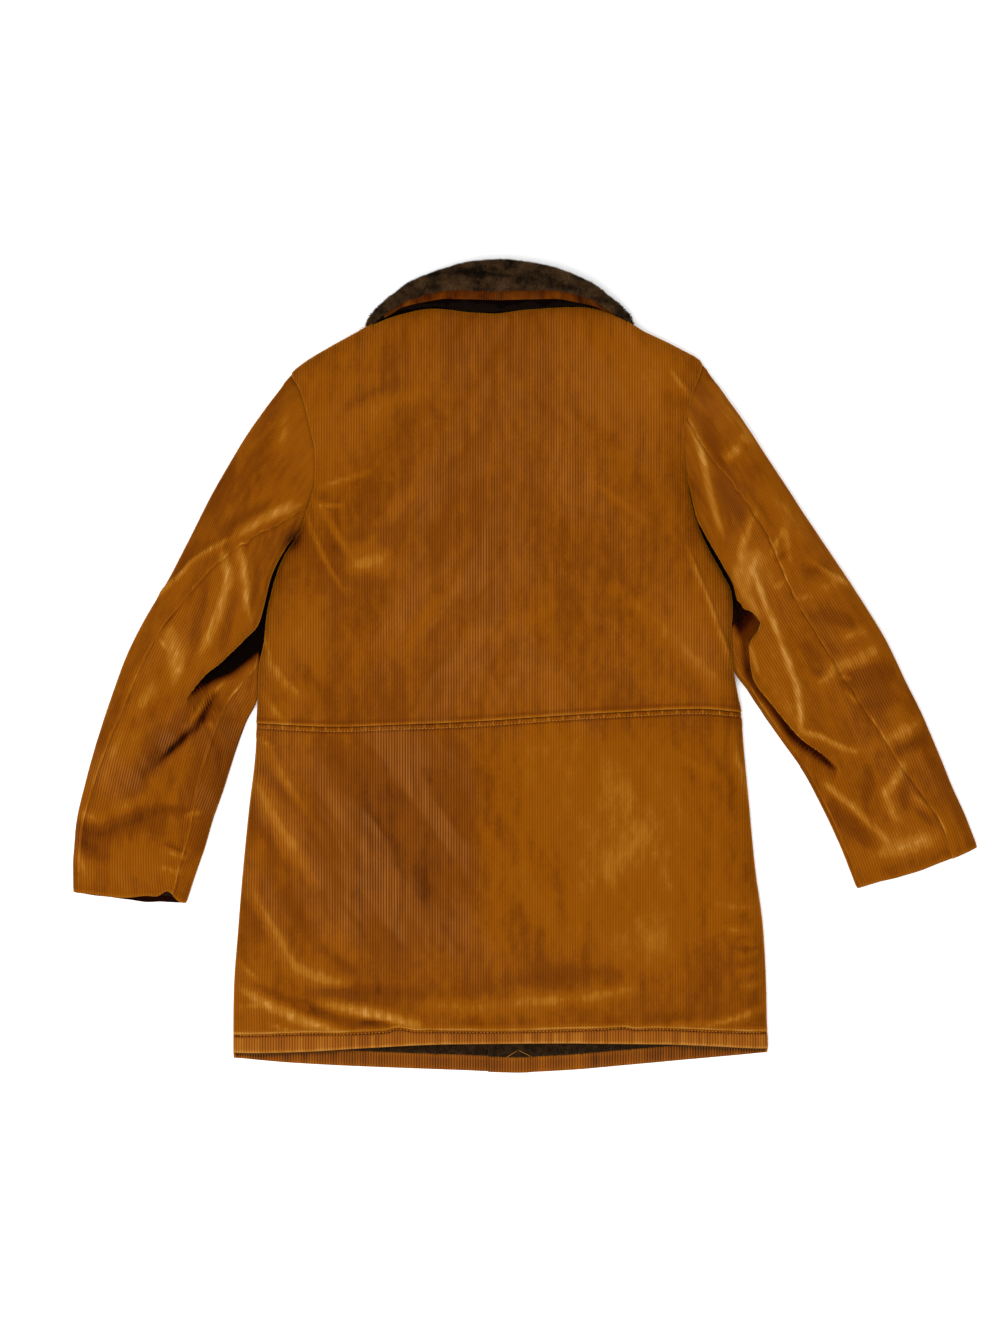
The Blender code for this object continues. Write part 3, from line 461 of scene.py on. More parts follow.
RIGHT_CREASES = [
    (686, 416, 706, 470, -2, 4, 5, 3.4),
    (700, 446, 724, 542, 2, 4, 5, 3.6),
    (716, 470, 744, 520, 0, 8, 8, -2.0),
    (700, 408, 722, 470, 0, 6, 6, -1.1),
    (751, 568, 778, 636, 1, 5, 4, 3.8),
    (770, 618, 798, 698, -2, 5, 4, 4.2),
    (794, 676, 800, 732, -2, 5, 4, 3.6),
    (758, 508, 738, 562, 3, 5, 6, 2.6),
    (744, 548, 734, 588, 0, 6, 7, 2.0),
    (760, 548, 742, 592, 0, 6, 8, 2.2),
    (736, 582, 764, 622, 0, 5, 6, 1.8),
    (800, 640, 824, 684, 0, 8, 7, -2.0),
    (742, 446, 722, 462, 0, 6, 7, 2.4),
    (738, 434, 746, 446, 0, 5, 5, 1.8),
    (714, 376, 730, 430, 0, 8, 10, 1.4),
    (768, 557, 782, 528, 0, 2.5, 4, 2.2),
    (766, 566, 792, 548, 0, 3, 4, -1.0),
    (784, 520, 790, 566, 0, 4, 5, 1.6),
    (772, 590, 786, 577, 0, 2.5, 4, 1.8),
    (792, 599, 812, 594, 1, 3, 4, 1.8),
    (812, 593, 850, 574, 0, 8, 9, 1.3),
    (806, 557, 856, 588, 2, 2.5, 4, 2.2),
    (798, 574, 832, 562, 0, 6, 7, -1.1),
    (806, 616, 858, 624, -3, 8, 8, -1.8),
    (836, 640, 868, 628, 0, 6, 7, 1.6),
    (815, 684, 838, 661, 3, 6, 6, 2.8),
    (824, 668, 884, 645, 4, 9, 8, 3.3),
    (836, 684, 896, 672, -3, 9, 10, -2.4),
    (858, 706, 900, 698, 0, 9, 9, -1.3),
    (836, 676, 856, 679, 0, 2.5, 3, 2.0),
    (842, 690, 858, 704, 0, 3, 3, 1.6),
    (880, 740, 922, 718, 3, 7, 6, 2.2),
    (890, 752, 928, 738, 0, 6, 7, -2.1),
    (796, 729, 836, 743, -2, 3, 5, 2.8),
    (826, 740, 858, 752, 0, 3, 5, 2.4),
    (852, 752, 884, 742, 0, 7, 8, 1.0),
    (904, 758, 882, 796, -3, 6, 7, 2.8),
    (883, 784, 902, 826, 3, 7, 7, 2.4),
    (870, 762, 866, 804, 0, 7, 8, -1.5),
    (904, 776, 904, 812, 0, 6, 6, -1.3),
    (820, 780, 862, 814, 0, 6, 4, 3.2),
    (850, 804, 890, 844, 0, 6, 4, 3.2),
    (822, 802, 880, 852, 0, 8, 7, -2.0),
    (908, 792, 934, 812, 0, 4, 5, 1.8),
    (914, 808, 938, 828, 0, 4, 5, -1.1),
    (866, 854, 944, 832, 3, 9, 9, 2.2),
    (876, 872, 960, 846, 0, 6, 7, -0.7),
    (886, 690, 920, 770, 0, 9, 10, 1.2),
    (760, 470, 806, 546, 0, 9, 10, 1.4),
    (730, 404, 760, 464, 0, 8, 12, 1.4),
    (748, 640, 758, 676, 0, 3, 4, 2.2),
    (758, 690, 774, 712, 0, 3, 4, 1.8),
]
SLEEVE_CREASES = {"left": LEFT_CREASES, "right": RIGHT_CREASES}
COLLAR_CREASES = [
    (422, 280, 474, 274, -1, 2.5, 2.5, -2.2),
    (464, 274, 528, 281, 0, 2.5, 2.5, -2.2),
    (430, 287, 524, 286, 0, 5, 5, 1.4),
    (536, 266, 604, 294, 0, 5, 6, 1.3),
    (388, 304, 434, 280, 0, 5, 5, 1.3),
    (514, 257, 508, 274, 0, 2, 3, -1.8),
    (548, 284, 590, 298, 0, 3, 3, -1.6),
    (450, 266, 500, 262, 0, 4, 4, 1.2),
]
FRONT_CREASES = [
    (700, 420, 640, 560, 6, 12, 14, 2.0),
    (300, 430, 360, 560, -6, 12, 14, 2.0),
    (262, 640, 330, 700, 0, 8, 10, 2.4),
    (735, 650, 672, 706, 0, 8, 10, 2.2),
    (250, 800, 330, 930, 4, 10, 12, 2.4),
    (752, 800, 680, 950, 0, 10, 12, 2.4),
    (400, 600, 460, 820, 6, 14, 18, 1.8),
    (600, 620, 560, 840, 6, 14, 18, 1.8),
    (300, 960, 420, 1010, 0, 9, 12, 2.0),
    (700, 970, 580, 1015, 0, 9, 12, 2.0),
    (420, 470, 470, 560, 0, 10, 12, 1.6),
    (580, 470, 540, 570, 0, 10, 12, 1.6),
]

# Places painted lighter or darker: painted sheen where the nap lies another way, painted shade in valleys and
# recesses, and painted light and shade along folds of the hem: middle and reach in pixels, turn in degrees,
# then how much lighter or darker the cloth is there, and how far its wales show as pale lines of painted
# sheen.
Patch = namedtuple("Patch", "x y across along turn tone rose")
PATCHES = [
    (400, 815, 74, 95, 12, -0.11, 1.0),
    (372, 905, 66, 80, 20, -0.07, 0.8),
    (440, 930, 50, 70, 0, 0.0, 0.6),
    (300, 800, 40, 120, 20, 0.04, 0.35),
    (262, 900, 28, 120, 0, 0.06, 0.35),
    (560, 830, 80, 130, 0, 0.02, 0.15),
    (660, 850, 80, 120, 0, 0.02, 0.05),
    (378, 1014, 50, 5, -12, 0.13, 0),
    (298, 1011, 46, 5, -24, 0.11, 0),
    (322, 1013, 30, 6, -23, -0.10, 0),
    (370, 1023, 26, 4, -8, -0.10, -0.5),
    (356, 997, 46, 6, -7, -0.06, 0),
    (316, 975, 32, 9, -16, 0.06, 0),
    (352, 548, 52, 62, 0, -0.06, 0),
    (640, 945, 34, 26, 0, 0.16, 0.0),
    (606, 829, 44, 70, 0, 0.05, 0.0),
    (556, 976, 50, 12, -4, -0.06, 0.0),
    (320, 940, 44, 40, 0, 0.08, 0.1),
    (372, 562, 26, 15, -20, 0.18, 0.0),
    (300, 640, 30, 50, 0, 0.10, 0.0),
    (450, 560, 60, 120, 0, -0.02, 0.5),
    (520, 480, 70, 130, 0, -0.03, 0.35),
    (600, 450, 60, 90, 0, 0.02, 0.3),
    (440, 660, 110, 60, 0, 0.0, 0.5),
    (600, 680, 90, 42, 0, 0.02, 0.3),
    (690, 640, 50, 70, 0, 0.06, 0.25),
    (400, 350, 70, 40, 0, 0.0, 0.15),
    (500, 350, 50, 50, 0, -0.06, 0.25),
    (610, 350, 70, 40, 0, 0.06, 0.2),
    (645, 390, 26, 30, 0, 0.10, 0.0),
    (330, 420, 40, 60, 0, 0.08, 0.1),
    (220, 450, 34, 90, -28, -0.08, 0.2),
    (240, 660, 40, 60, -30, 0.05, 0.2),
    (230, 600, 30, 50, -30, 0.10, 0.0),
    (176, 660, 24, 40, -30, 0.10, 0.2),
    (110, 780, 34, 60, -20, 0.0, 0.4),
    (216, 770, 26, 70, -15, -0.10, 0.4),
    (120, 826, 60, 14, 14, -0.10, 0.1),
    (96, 846, 24, 16, 0, -0.06, 0.1),
    (209, 704, 4, 18, -28, -0.22, -1.0),
    (184, 739, 4.5, 37, -48, -0.24, -1.0),
    (130, 866, 60, 24, 0, 0.06, 0.2),
    (164, 748, 13, 52, -42, -0.10, 1.0),
    (286, 506, 26, 16, 0, 0.10, 0.0),
    (293, 540, 9, 13, -30, -0.34, 0.3),
    (706, 400, 24, 30, 0, -0.04, 0.2),
    (752, 572, 26, 34, 20, 0.16, 0.0),
    (776, 690, 26, 60, 20, 0.10, 0.0),
    (826, 640, 80, 260, 27, 0.035, 0.1),
    (874, 690, 30, 34, 25, -0.06, 0.0),
    (900, 846, 60, 20, 15, 0.12, 0.0),
    (780, 776, 20, 60, 30, -0.08, 0.0),
    (920, 770, 24, 50, 25, -0.06, 0.1),
    (728, 500, 16, 36, 20, -0.06, 0.1),
]

# Shade in the tuck of each sleeve, by its sections: where it starts to clear past the lip, over what
# distance, how wide it is along the body, and how deep.
SHADE_COLUMNS = ("section", "start", "fade", "beside", "depth")
SHADE = {
    "left": [
        (0, 20, 9, 0, 0.95), (1, 20, 9, 1.5, 0.95), (2, 20, 9, 4, 0.95), (3, 20, 9, 7, 0.95),
        (4, 16, 14, 5, 0.95), (5, 12, 15, 0, 0.92), (6, 6, 12, 0, 0.86), (6.5, 1, 9, 0, 0.78),
        (6.9, -4, 7, 0, 0.45), (7.3, -8, 5, 0, 0),
    ],
    "right": [
        (0, 26, 9, 1, 0.9), (1, 26, 9, 3, 0.9), (2, 26, 9, 4, 0.9), (3, 26, 9, 5, 0.9), (4, 26, 9, 8, 0.86),
        (5, 22, 9, 8, 0.82), (5.5, 16, 10, 2, 0.82), (6, 12, 12, 0, 0.75), (6.5, 6, 9, 0, 0.52),
        (7, 5, 9, 0, 0.50), (7.4, 4, 8, 0, 0.64), (7.9, 2, 7, 0, 0.48), (8.5, 3, 6, 0, 0.62),
        (9.2, 3, 6, 0, 0.66), (10, 5, 8, 0, 0.72), (11, 5, 9, 0, 0.72), (11.6, 3, 8, 0, 0.3),
        (12, 3, 8, 0, 0),
    ],
}


def curve(rows, column):
    """A smooth function of a table's first column, through the given column, with no overshoot."""
    x = np.array([row[0] for row in rows], float)
    y = np.array([row[column] for row in rows], float)
    step = np.diff(x)
    slope = np.diff(y) / step
    tangent = np.concatenate([slope[:1], np.zeros(len(x) - 2), slope[-1:]])
    for i in range(1, len(x) - 1):
        if slope[i - 1] * slope[i] > 0:
            a = 2 * step[i] + step[i - 1]
            b = step[i] + 2 * step[i - 1]
            tangent[i] = (a + b) / (a / slope[i - 1] + b / slope[i])

    def at(value):
        value = np.clip(np.asarray(value, float), x[0], x[-1])
        i = np.clip(np.searchsorted(x, value) - 1, 0, len(x) - 2)
        t = (value - x[i]) / step[i]
        return (
            y[i] * (1 + 2 * t) * (1 - t) ** 2
            + y[i + 1] * t * t * (3 - 2 * t)
            + step[i] * (tangent[i] * t * (1 - t) ** 2 - tangent[i + 1] * t * t * (1 - t))
        )

    return at


def numbered(rows):
    """The same table with the row's number as its first column."""
    return [(i, *row) for i, row in enumerate(rows)]


def ease(value):
    """Rises smoothly from 0 to 1 while the value does."""
    value = np.clip(value, 0, 1)
    return value * value * (3 - 2 * value)


def bell(distance, width):
    """1 at no distance, and nothing from about twice the width."""
    return np.exp(-((distance / width) ** 2))


def roll(distance, width):
    """Rises from 0 at an edge to 1 at the given width, upright at the edge."""
    return np.sqrt(np.clip(1 - (1 - np.clip(distance / width, 0, 1)) ** 2, 0, 1))


body = {name: curve(BODY, i) for i, name in enumerate(BODY_COLUMNS) if i}
hem_back = curve(HEM_BACK, 1)
hem_wave = curve(HEM_WAVE, 1)
hem_front = curve(HEM_FRONT, 1)
waist_line = curve(WAIST_LINE, 1)
neck_line = curve(NECK_LINE, 1)
front_neck = curve(FRONT_NECK, 1)


def folds(x, y):
    """Height that the largest folds add at a place on the back."""
    total = np.zeros(np.broadcast(x, y).shape)
    for row in FOLDS:
        fold = Fold(*row)
        dx, dy = fold.x1 - fold.x0, fold.y1 - fold.y0
        length = math.hypot(dx, dy)
        along = ((x - fold.x0) * dx + (y - fold.y0) * dy) / length
        across = ((x - fold.x0) * dy - (y - fold.y0) * dx) / length
        taper = np.sin(np.pi * np.clip(along / length, 0, 1))
        total = total + fold.height * taper * bell(across, fold.half_width)
    return total


def back(x, h):
    """A point of the back's outer face, from its x and its height on the centre line."""
    bend = hem_back(x) * (1 - ease(h / HEM_REACH))
    bend = bend + hem_wave(x) * (1 - ease(np.abs(h - HEM_DEPTH) / WAVE_REACH))
    bend = bend + waist_line(x) * (1 - ease(np.abs(h - WAIST) / WAIST_REACH))
    bend = bend + neck_line(x) * ease((h - NECK) / NECK_REACH + 1)
    y = h + bend
    left = roll(x - body["left"](h), EDGE_ROLL)
    right = roll(body["right"](h) - x, EDGE_ROLL)
    top = roll(NECK + neck_line(x) - y, NECK_ROLL)
    top = np.where(np.abs(x) < NECK_HALF, 0.45 + 0.55 * top, 1)
    side = np.where(x < 0, body["left_z"](h), body["right_z"](h)) + SEAM_GAP
    fold = folds(x, y) * ease((h - HEM_DEPTH) / 5)
    z = side + (body["crown"](h) - side + fold) * left * right * top
    return np.stack([x, y, z], -1)


def along_armhole(h, side):
    """1 along an armhole, easing to 0 at the shoulder point and the armpit."""
    top, bottom = ARMHOLES[side]
    return ease((top - h) / 14) * ease((h - bottom) / 20)


def front(x, h, lap):
    """A point of a front's outer face; lap is how far it is raised by the other front at this x."""
    bend = hem_front(x) * (1 - ease(h / FRONT_HEM_REACH))
    bend = bend + front_neck(-np.abs(x)) * ease((h - NECK) / FRONT_NECK_REACH + 1)
    y = h + bend
    leaf = np.hypot(x / LEAF_SPREAD[0], (y - LEAF_MIDDLE) / LEAF_SPREAD[1])
    rise = LEAF_RISE * (1 - ease((leaf - 1) / 0.16)) + lap * np.ones(np.shape(x))
    side = np.where(x < 0, body["left_z"](h), body["right_z"](h)) - SEAM_GAP
    armhole = np.where(x < 0, along_armhole(h, "left"), along_armhole(h, "right"))
    edge = np.minimum(x - body["left"](h), body["right"](h) - x)
    z = rise + (side - rise) * (1 - armhole) * (1 - roll(edge, FRONT_ROLL))
    return np.stack([x, y, z], -1)


class Sleeve:
    """The form of one sleeve: a closed section at each place s along it."""

    def __init__(self, side):
        rows = numbered(SLEEVES[side])
        self.column = {name: curve(rows, i + 1) for i, name in enumerate(SLEEVE_COLUMNS)}
        self.side = side
        self.armhole = ARMHOLES[side]
        self.last = len(rows) - 1

    def edges(self, s):
        """Outer and inner edge, the inner one no further under the body than LAID_GAP says."""
        outer = np.stack([self.column["outer_x"](s), self.column["outer_y"](s)], -1)
        inner = np.stack([self.column["inner_x"](s), self.column["inner_y"](s)], -1)
        beside = body[self.side](inner[..., 1])
        if self.side == "left":
            inner[..., 0] = np.minimum(inner[..., 0], beside - LAID_GAP)
        else:
            inner[..., 0] = np.maximum(inner[..., 0], beside + LAID_GAP)
        return outer, inner

    def section(self, s):
        """Points of the section: distance from the outer edge and height, over the top and back below."""
        outer, inner = self.edges(s)
        width = np.hypot(*np.moveaxis(inner - outer, -1, 0))
        crown = self.column["crown"](s)
        fold = self.column["fold"](s)
        lip = width - self.column["lip"](s)
        if self.side == "right":
            end = 1 - ease((s - NOTCH[1]) / 0.2)
            lip = lip - LIP_NOTCH * np.clip((s - NOTCH[0]) / (NOTCH[1] - NOTCH[0]), 0, 1) ** 1.3 * end
        drop = TUCK_DEPTH[self.side]
        plain, below = [
            [(share * width + more, height * crown) for share, more, height in rows]
            for rows in (SECTION_TOP, SECTION_BELOW)
        ]
        folded = plain[:4]
        for across, height in (
            (lip - 20, 0.99), (lip - 4, 0.90), (lip, 0.68), (lip + TUCK - 2 * TUCK * fold, drop),
            (width - 0.4 * np.maximum(width - lip - TUCK, 4), drop - 0.02), (width, 0.22),
        ):
            unfolded = np.interp(across / width, TOP_PLACES, [row[2] for row in SECTION_TOP])
            folded.append((across, (unfolded + fold * (height - unfolded)) * crown))
        share = ease(fold / 0.25)
        points = [[p + share * (f - p) for p, f in zip(a, b)] for a, b in zip(plain, folded)] + below
        return np.array([p[0] for p in points]), np.array([p[1] for p in points]), width

    def flat(self, q, s):
        """Distance across and height at place q round the section, a smooth curve through its points."""
        across, height, width = self.section(s)
        i = np.floor(q).astype(int)
        t = q - i
        weights = (
            0.5 * (-t + 2 * t * t - t ** 3),
            0.5 * (2 - 5 * t * t + 3 * t ** 3),
            0.5 * (t + 4 * t * t - 3 * t ** 3),
            0.5 * (t ** 3 - t * t),
        )
        d = 0
        z = 0
        for k, weight in enumerate(weights):
            pick = ((i + k - 1) % RING_POINTS)[None]
            d = d + weight * np.take_along_axis(across, pick, 0)[0]
            z = z + weight * np.take_along_axis(height, pick, 0)[0]
        return np.clip(d, 0, width), np.maximum(z, 0), width

    def point(self, q, s):
        """A point of the outer face, at place q round the section."""
        q, s = np.broadcast_arrays(np.asarray(q, float), np.asarray(s, float))
        d, z, width = self.flat(q, s)
        share = d / width
        outer, inner = self.edges(s)
        plan = outer + (inner - outer) * share[..., None]
        top, bottom = self.armhole
        h = top + (bottom - top) * share
        first_outer, first_inner = self.edges(0 * s)
        chord = first_outer + (first_inner - first_outer) * share[..., None]
        seam = np.stack([body[self.side](h), h], -1)
        die = np.clip(1 - s / ARMHOLE_REACH, 0, 1) ** 2
        plan = plan + die[..., None] * (seam - chord)
        return np.concatenate([plan, z[..., None]], -1)

    def normals(self, q, s):
        """Outward normals of the outer face."""
        n = faces_out(self.point, q, s, 0.03, 0.02)
        return -n if self.side == "left" else n

    def seam(self, name, s):
        """Place round the section where a seam runs, sought from the edge that it lies nearer to."""
        places = np.linspace(0, TOP_POINTS - 1, 200)
        found = []
        for one in np.atleast_1d(s):
            d, _, width = self.flat(places, np.full(places.shape, one))
            target = self.column[name](one) * width[0]
            if name == "elbow":
                k = max(np.argmax(d >= target), 1) - 1
            else:
                k = min(len(places) - 1 - np.argmax(d[::-1] <= target), len(places) - 2)
            t = np.clip((target - d[k]) / max(d[k + 1] - d[k], 1e-6), 0, 1)
            found.append(places[k] + t * (places[k + 1] - places[k]))
        wander = 0.04 * (lattice(np.atleast_1d(s) * 5.3, 0.5, 17) - 0.5) * (name == "elbow")
        return np.array(found) + wander


def faces_out(point, u, v, du, dv):
    """Unit normals of a surface given by a function of two values."""
    a = point(u + du, v) - point(u - du, v)
    b = point(u, v + dv) - point(u, v - dv)
    n = np.cross(a, b)
    return n / np.linalg.norm(n, axis=-1, keepdims=True)


def collar_points(rows, profile):
    """Places the closed profile of each row: along the stand, and out from the neck."""
    grid = []
    for side, row in rows:
        lean = math.radians(row["lean"])
        turn = math.radians(row["turn"])
        seam = np.array([row["x"] * side, row["y"], row["z"]])
        stand = np.array([math.sin(lean) * side, math.cos(lean), 0])
        out = np.array([-math.sin(turn) * side, 0, math.cos(turn)])
        grid.append([seam + stand * a + out * b for a, b in profile(row)])
    grid = np.array(grid)
    grid[..., 2] = np.maximum(grid[..., 2], 0)
    return grid


def pile_profile(row):
    """Closed section of the pile collar: its leaf, its fold, its stand, and back inside."""
    s, leaf, b, t = row["stand"], row["leaf"], row["height"], row["pile"]
    edge = s - leaf
    return [
        (edge, b - 0.14 * b), (edge + 0.2 * leaf, b), (edge + 0.55 * leaf, b), (s - 0.16 * b, 0.86 * b),
        (s, 0.52 * b), (s - 0.14 * b, 0.12 * b), (0.55 * s, 0), (0, 0),
        (0, t), (0.5 * s, t), (s - t - 0.1 * b, t + 0.04 * b), (s - t, 0.52 * b),
        (s - t - 0.1 * b, b - t - 0.06 * b), (edge + 0.5 * leaf, b - t), (edge + 0.02 * leaf, b - t),
    ]


def under_profile(row):
    """Closed section of the under collar, inside that of the pile."""
    s, leaf, b, t = row["stand"], row["leaf"], row["height"], row["pile"] + 2 * SEAM_GAP
    edge = s - leaf - row["strip"]
    w = UNDER_CLOTH
    high = b - t
    return [
        (edge, high - 1.2), (edge, high - 1.2 + 0.5 * w), (s - leaf - 0.5, high - 0.2),
        (edge + 0.75 * leaf, high - 0.3), (s - t - 0.14 * b, high - 0.1 * b), (s - t - 0.4, 0.52 * b),
        (s - t - 0.14 * b, t + 0.08 * b), (0.5 * s, t + 0.2), (0, t),
        (0, t + w), (0.48 * s, t + w + 0.2), (s - t - w - 0.12 * b, t + w + 0.08 * b),
        (s - t - w - 0.4, 0.52 * b), (s - t - w - 0.12 * b, high - w - 0.1 * b),
        (edge + 0.7 * leaf, high - w - 0.3), (s - leaf - 0.5, high - w - 0.2),
    ]


def coat(x, y):
    """Place on the coat of a pixel of the photograph."""
    return (x - ORIGIN[0]) * PIXEL, (ORIGIN[1] - y) * PIXEL


def lattice(x, y, seed):
    """Smooth noise from 0 to 1, the same at every run."""
    x, y = np.broadcast_arrays(np.asarray(x, float), np.asarray(y, float))
    i = np.floor(x).astype(np.int64)
    j = np.floor(y).astype(np.int64)
    fx = ease(x - i)
    fy = ease(y - j)

    def corner(a, b):
        n = (a * 374761393 + b * 668265263 + seed * 1442695041) & 0xFFFFFFFF
        n = ((n ^ (n >> 13)) * 1274126177) & 0xFFFFFFFF
        return ((n ^ (n >> 16)) & 0xFFFF) / 65535

    low = corner(i, j) * (1 - fx) + corner(i + 1, j) * fx
    high = corner(i, j + 1) * (1 - fx) + corner(i + 1, j + 1) * fx
    return low * (1 - fy) + high * fy


def fractal(x, y, seed):
    """Noise from 0 to 1 with finer and weaker noise added to it."""
    total = 0
    weight = 0
    for k in range(OCTAVES):
        share = FINER ** k
        total = total + lattice(x * 2 ** k, y * 2 ** k, seed + k) * share
        weight += share
    return total / weight


def spread(values, places):
    """A value for each row, repeated over the row's places."""
    return np.repeat(values[:, None], places.shape[1], 1)


def creases_at(x, y, rows):
    """Height of the creases at each place, their slant towards the painted light, and the painted highlight
    line along each.
    """
    x, y = np.broadcast_arrays(x, y)
    height, slant, line = np.zeros((3, *x.shape))
    for number, row in enumerate(rows):
        crease = Crease(*row)
        ax, ay = coat(crease.x0, crease.y0)
        bx, by = coat(crease.x1, crease.y1)
        length = math.hypot(bx - ax, by - ay)
        way = ((bx - ax) / length, (by - ay) / length)
        t = ((x - ax) * way[0] + (y - ay) * way[1]) / length
        near = np.nonzero((t > 0) & (t < 1))
        t = t[near]
        bowed = crease.bow * 4 * t * (1 - t)
        across = (x[near] - ax) * way[1] - (y[near] - ay) * way[0] - bowed
        width = np.where(across < 0, crease.left, crease.right)
        taper = np.sin(np.pi * t) ** 0.7
        rise = crease.height * taper * bell(across, width)
        height[near] += rise
        # painted light on the slopes that face NAP
        slant[near] += 2 * rise * across / width ** 2 * (way[1] * NAP[0] - way[0] * NAP[1])
        sharp = min(1, HIGHLIGHT_SHARP / (crease.left + crease.right))
        # painted highlight line along the ridge, stronger in stretches
        wear_and_highlight = lattice(t * length / HIGHLIGHT_PITCH, number + 0.5, HIGHLIGHT_SEED) * sharp
        line[near] += np.clip(crease.height / HIGHLIGHT_FULL, -1, 1) * taper * wear_and_highlight * bell(across, HIGHLIGHT_WIDTH)
    return height, slant, line


def patches(x, y):
    """How much lighter or darker the painted patches of sheen, light and shade make each place, and how far
    its wales show as pale sheen lines.
    """
    tone, rose = np.zeros((2, *np.broadcast(x, y).shape))
    for row in PATCHES:
        patch = Patch(*row)
        ax, ay = coat(patch.x, patch.y)
        c, s = math.cos(math.radians(patch.turn)), math.sin(math.radians(patch.turn))
        a = ((x - ax) * c + (y - ay) * s) / (patch.across * PIXEL)
        b = ((y - ay) * c - (x - ax) * s) / (patch.along * PIXEL)
        near = np.exp(-((a * a + b * b) ** 1.3))
        tone += patch.tone * near
        rose += patch.rose * near
    return tone, np.clip(rose, 0, 1)


def nap_bands(x, y, seed):
    """Soft slanting bands of the nap's painted sheen, falling outwards on both halves, and where pale sheen
    lines show.
    """
    bands = 0
    lines = 0
    right = np.maximum(ease((x + 70) / 170), y < WAIST + waist_line(x))
    for share, way in ((1 - right, 1), (right, -1)):
        along = 0.6 * way * x + 0.8 * y
        across = 0.8 * way * x - 0.6 * y
        bands = bands + share * fractal(along / 140, across / 34, seed + 2)
        lines = lines + share * ease((fractal(along / 120, across / 26, seed + 3) - 0.36) / 0.28)
    return bands, lines


def fit(low, high):
    """Columns along the wales for rows from low to high: places, each point's own number, wale and crest.

    A column past a row's edge is drawn back to it and shares the point there."""
    step = WALE / 3
    number = np.arange(math.floor((low.min() + NEAR) / step) - 1, math.ceil((high.max() - NEAR) / step) + 2)
    places = number * step
    inside = np.clip(places[None], (low + NEAR)[:, None], (high - NEAR)[:, None])
    low_edge = np.stack([low, low + EDGE_STEP], 1)
    high_edge = np.stack([high - EDGE_STEP, high], 1)
    u = np.concatenate([low_edge, inside, high_edge], 1)
    first = np.searchsorted(places, low + NEAR, "right") + 1
    last = np.searchsorted(places, high - NEAR, "left") + 2
    column = np.arange(u.shape[1])[None]
    middle = (column > 1) & (column < u.shape[1] - 2)
    own = np.where(middle, np.clip(column, first[:, None], last[:, None]), column)
    crest = np.concatenate([[1, 1], np.array(WALE_SECTION)[number % 3], [1, 1]])
    wale = np.concatenate([number[:1], number[:1], number, number[-1:], number[-1:]]) // 3
    return u, own, wale[None], crest[None]


def real_faces(faces):
    """The triangles whose corners are three different points."""
    a, b, c = faces.T
    return faces[(a != b) & (b != c) & (a != c)]


def grid_faces(index):
    """Triangles of a grid of point numbers."""
    a, b, c, d = index[:-1, :-1], index[:-1, 1:], index[1:, 1:], index[1:, :-1]
    faces = [np.stack(corners, -1).reshape(-1, 3) for corners in ([a, b, c], [a, c, d])]
    return real_faces(np.concatenate(faces))


def ring_index(rows, columns):
    """Point numbers of rows of closed rings, the first point of each again at its end."""
    return np.arange(rows)[:, None] * columns + np.arange(columns + 1)[None] % columns


def layer_faces(index, below):
    """Triangles of an outer and an inner grid, and of the walls between their first and last rows."""
    faces = [grid_faces(index), grid_faces(below)[:, ::-1]]
    for row in (0, -1):
        faces.append(grid_faces(np.stack([below[row], index[row]])))
    return faces


def zip_edges(a, at, b, bt):
    """Triangles between two lines of points that run side by side."""
    faces = []
    i = 0
    j = 0
    while i < len(a) - 1 or j < len(b) - 1:
        if j == len(b) - 1 or (i < len(a) - 1 and at[i + 1] <= bt[j + 1]):
            faces.append((a[i], a[i + 1], b[j]))
            i += 1
        else:
            faces.append((a[i], b[j + 1], b[j]))
            j += 1
    return np.array(faces)


def shell(name, outer, inner, own, kept, skin, values, inner_values):
    """A closed shell from a grid of outer points and the inner points of the kept rows."""
    rows, columns = outer.shape[:2]
    index = np.arange(rows)[:, None] * columns + own
    below = rows * columns + np.arange(len(kept))[:, None] * columns + own[kept]
    faces = layer_faces(index, below)
    for side in (0, -1):
        faces.append(zip_edges(index[:, side], np.arange(rows), below[:, side], np.array(kept)))
    points = np.concatenate([outer.reshape(-1, 3), inner.reshape(-1, 3)])
    merged = {key: np.concatenate([values[key].ravel(), inner_values[key].ravel()]) for key in values}
    return piece(name, points, np.concatenate(faces), skin, merged)


def cloth_shell(node_name, outer, inner, own, kept, values, inner_values):
    """A closed shell of corduroy for one node of the part."""
    skin = corduroy(f"{node_name}_corduroy")
    return shell(f"{node_name}_cloth", outer, inner[kept], own, kept, skin, values, inner_values)


def ring_shell(name, outer, inner, skin):
    """A closed band between two grids whose last column joins their first."""
    rows, columns = outer.shape[:2]
    index = ring_index(rows, columns)
    faces = layer_faces(index, index + rows * columns)
    points = np.concatenate([outer.reshape(-1, 3), inner.reshape(-1, 3)])
    return piece(name, points, np.concatenate(faces), skin)


def tube_piece(name, grid, skin, values):
    """A closed solid through rows of closed rings, capped at both ends."""
    rows, columns = grid.shape[:2]
    half = columns // 2
    faces = [grid_faces(ring_index(rows, columns))]
    for row in (0, rows - 1):
        ring = row * columns + np.arange(columns)
        way_back = ring[np.r_[0, columns - 1:half - 1:-1]]
        faces.append(zip_edges(ring[:half + 1], np.arange(half + 1), way_back, np.arange(columns - half + 1)))
    values = {key: value.ravel() for key, value in values.items()}
    return piece(name, grid.reshape(-1, 3), real_faces(np.concatenate(faces)), skin, values)


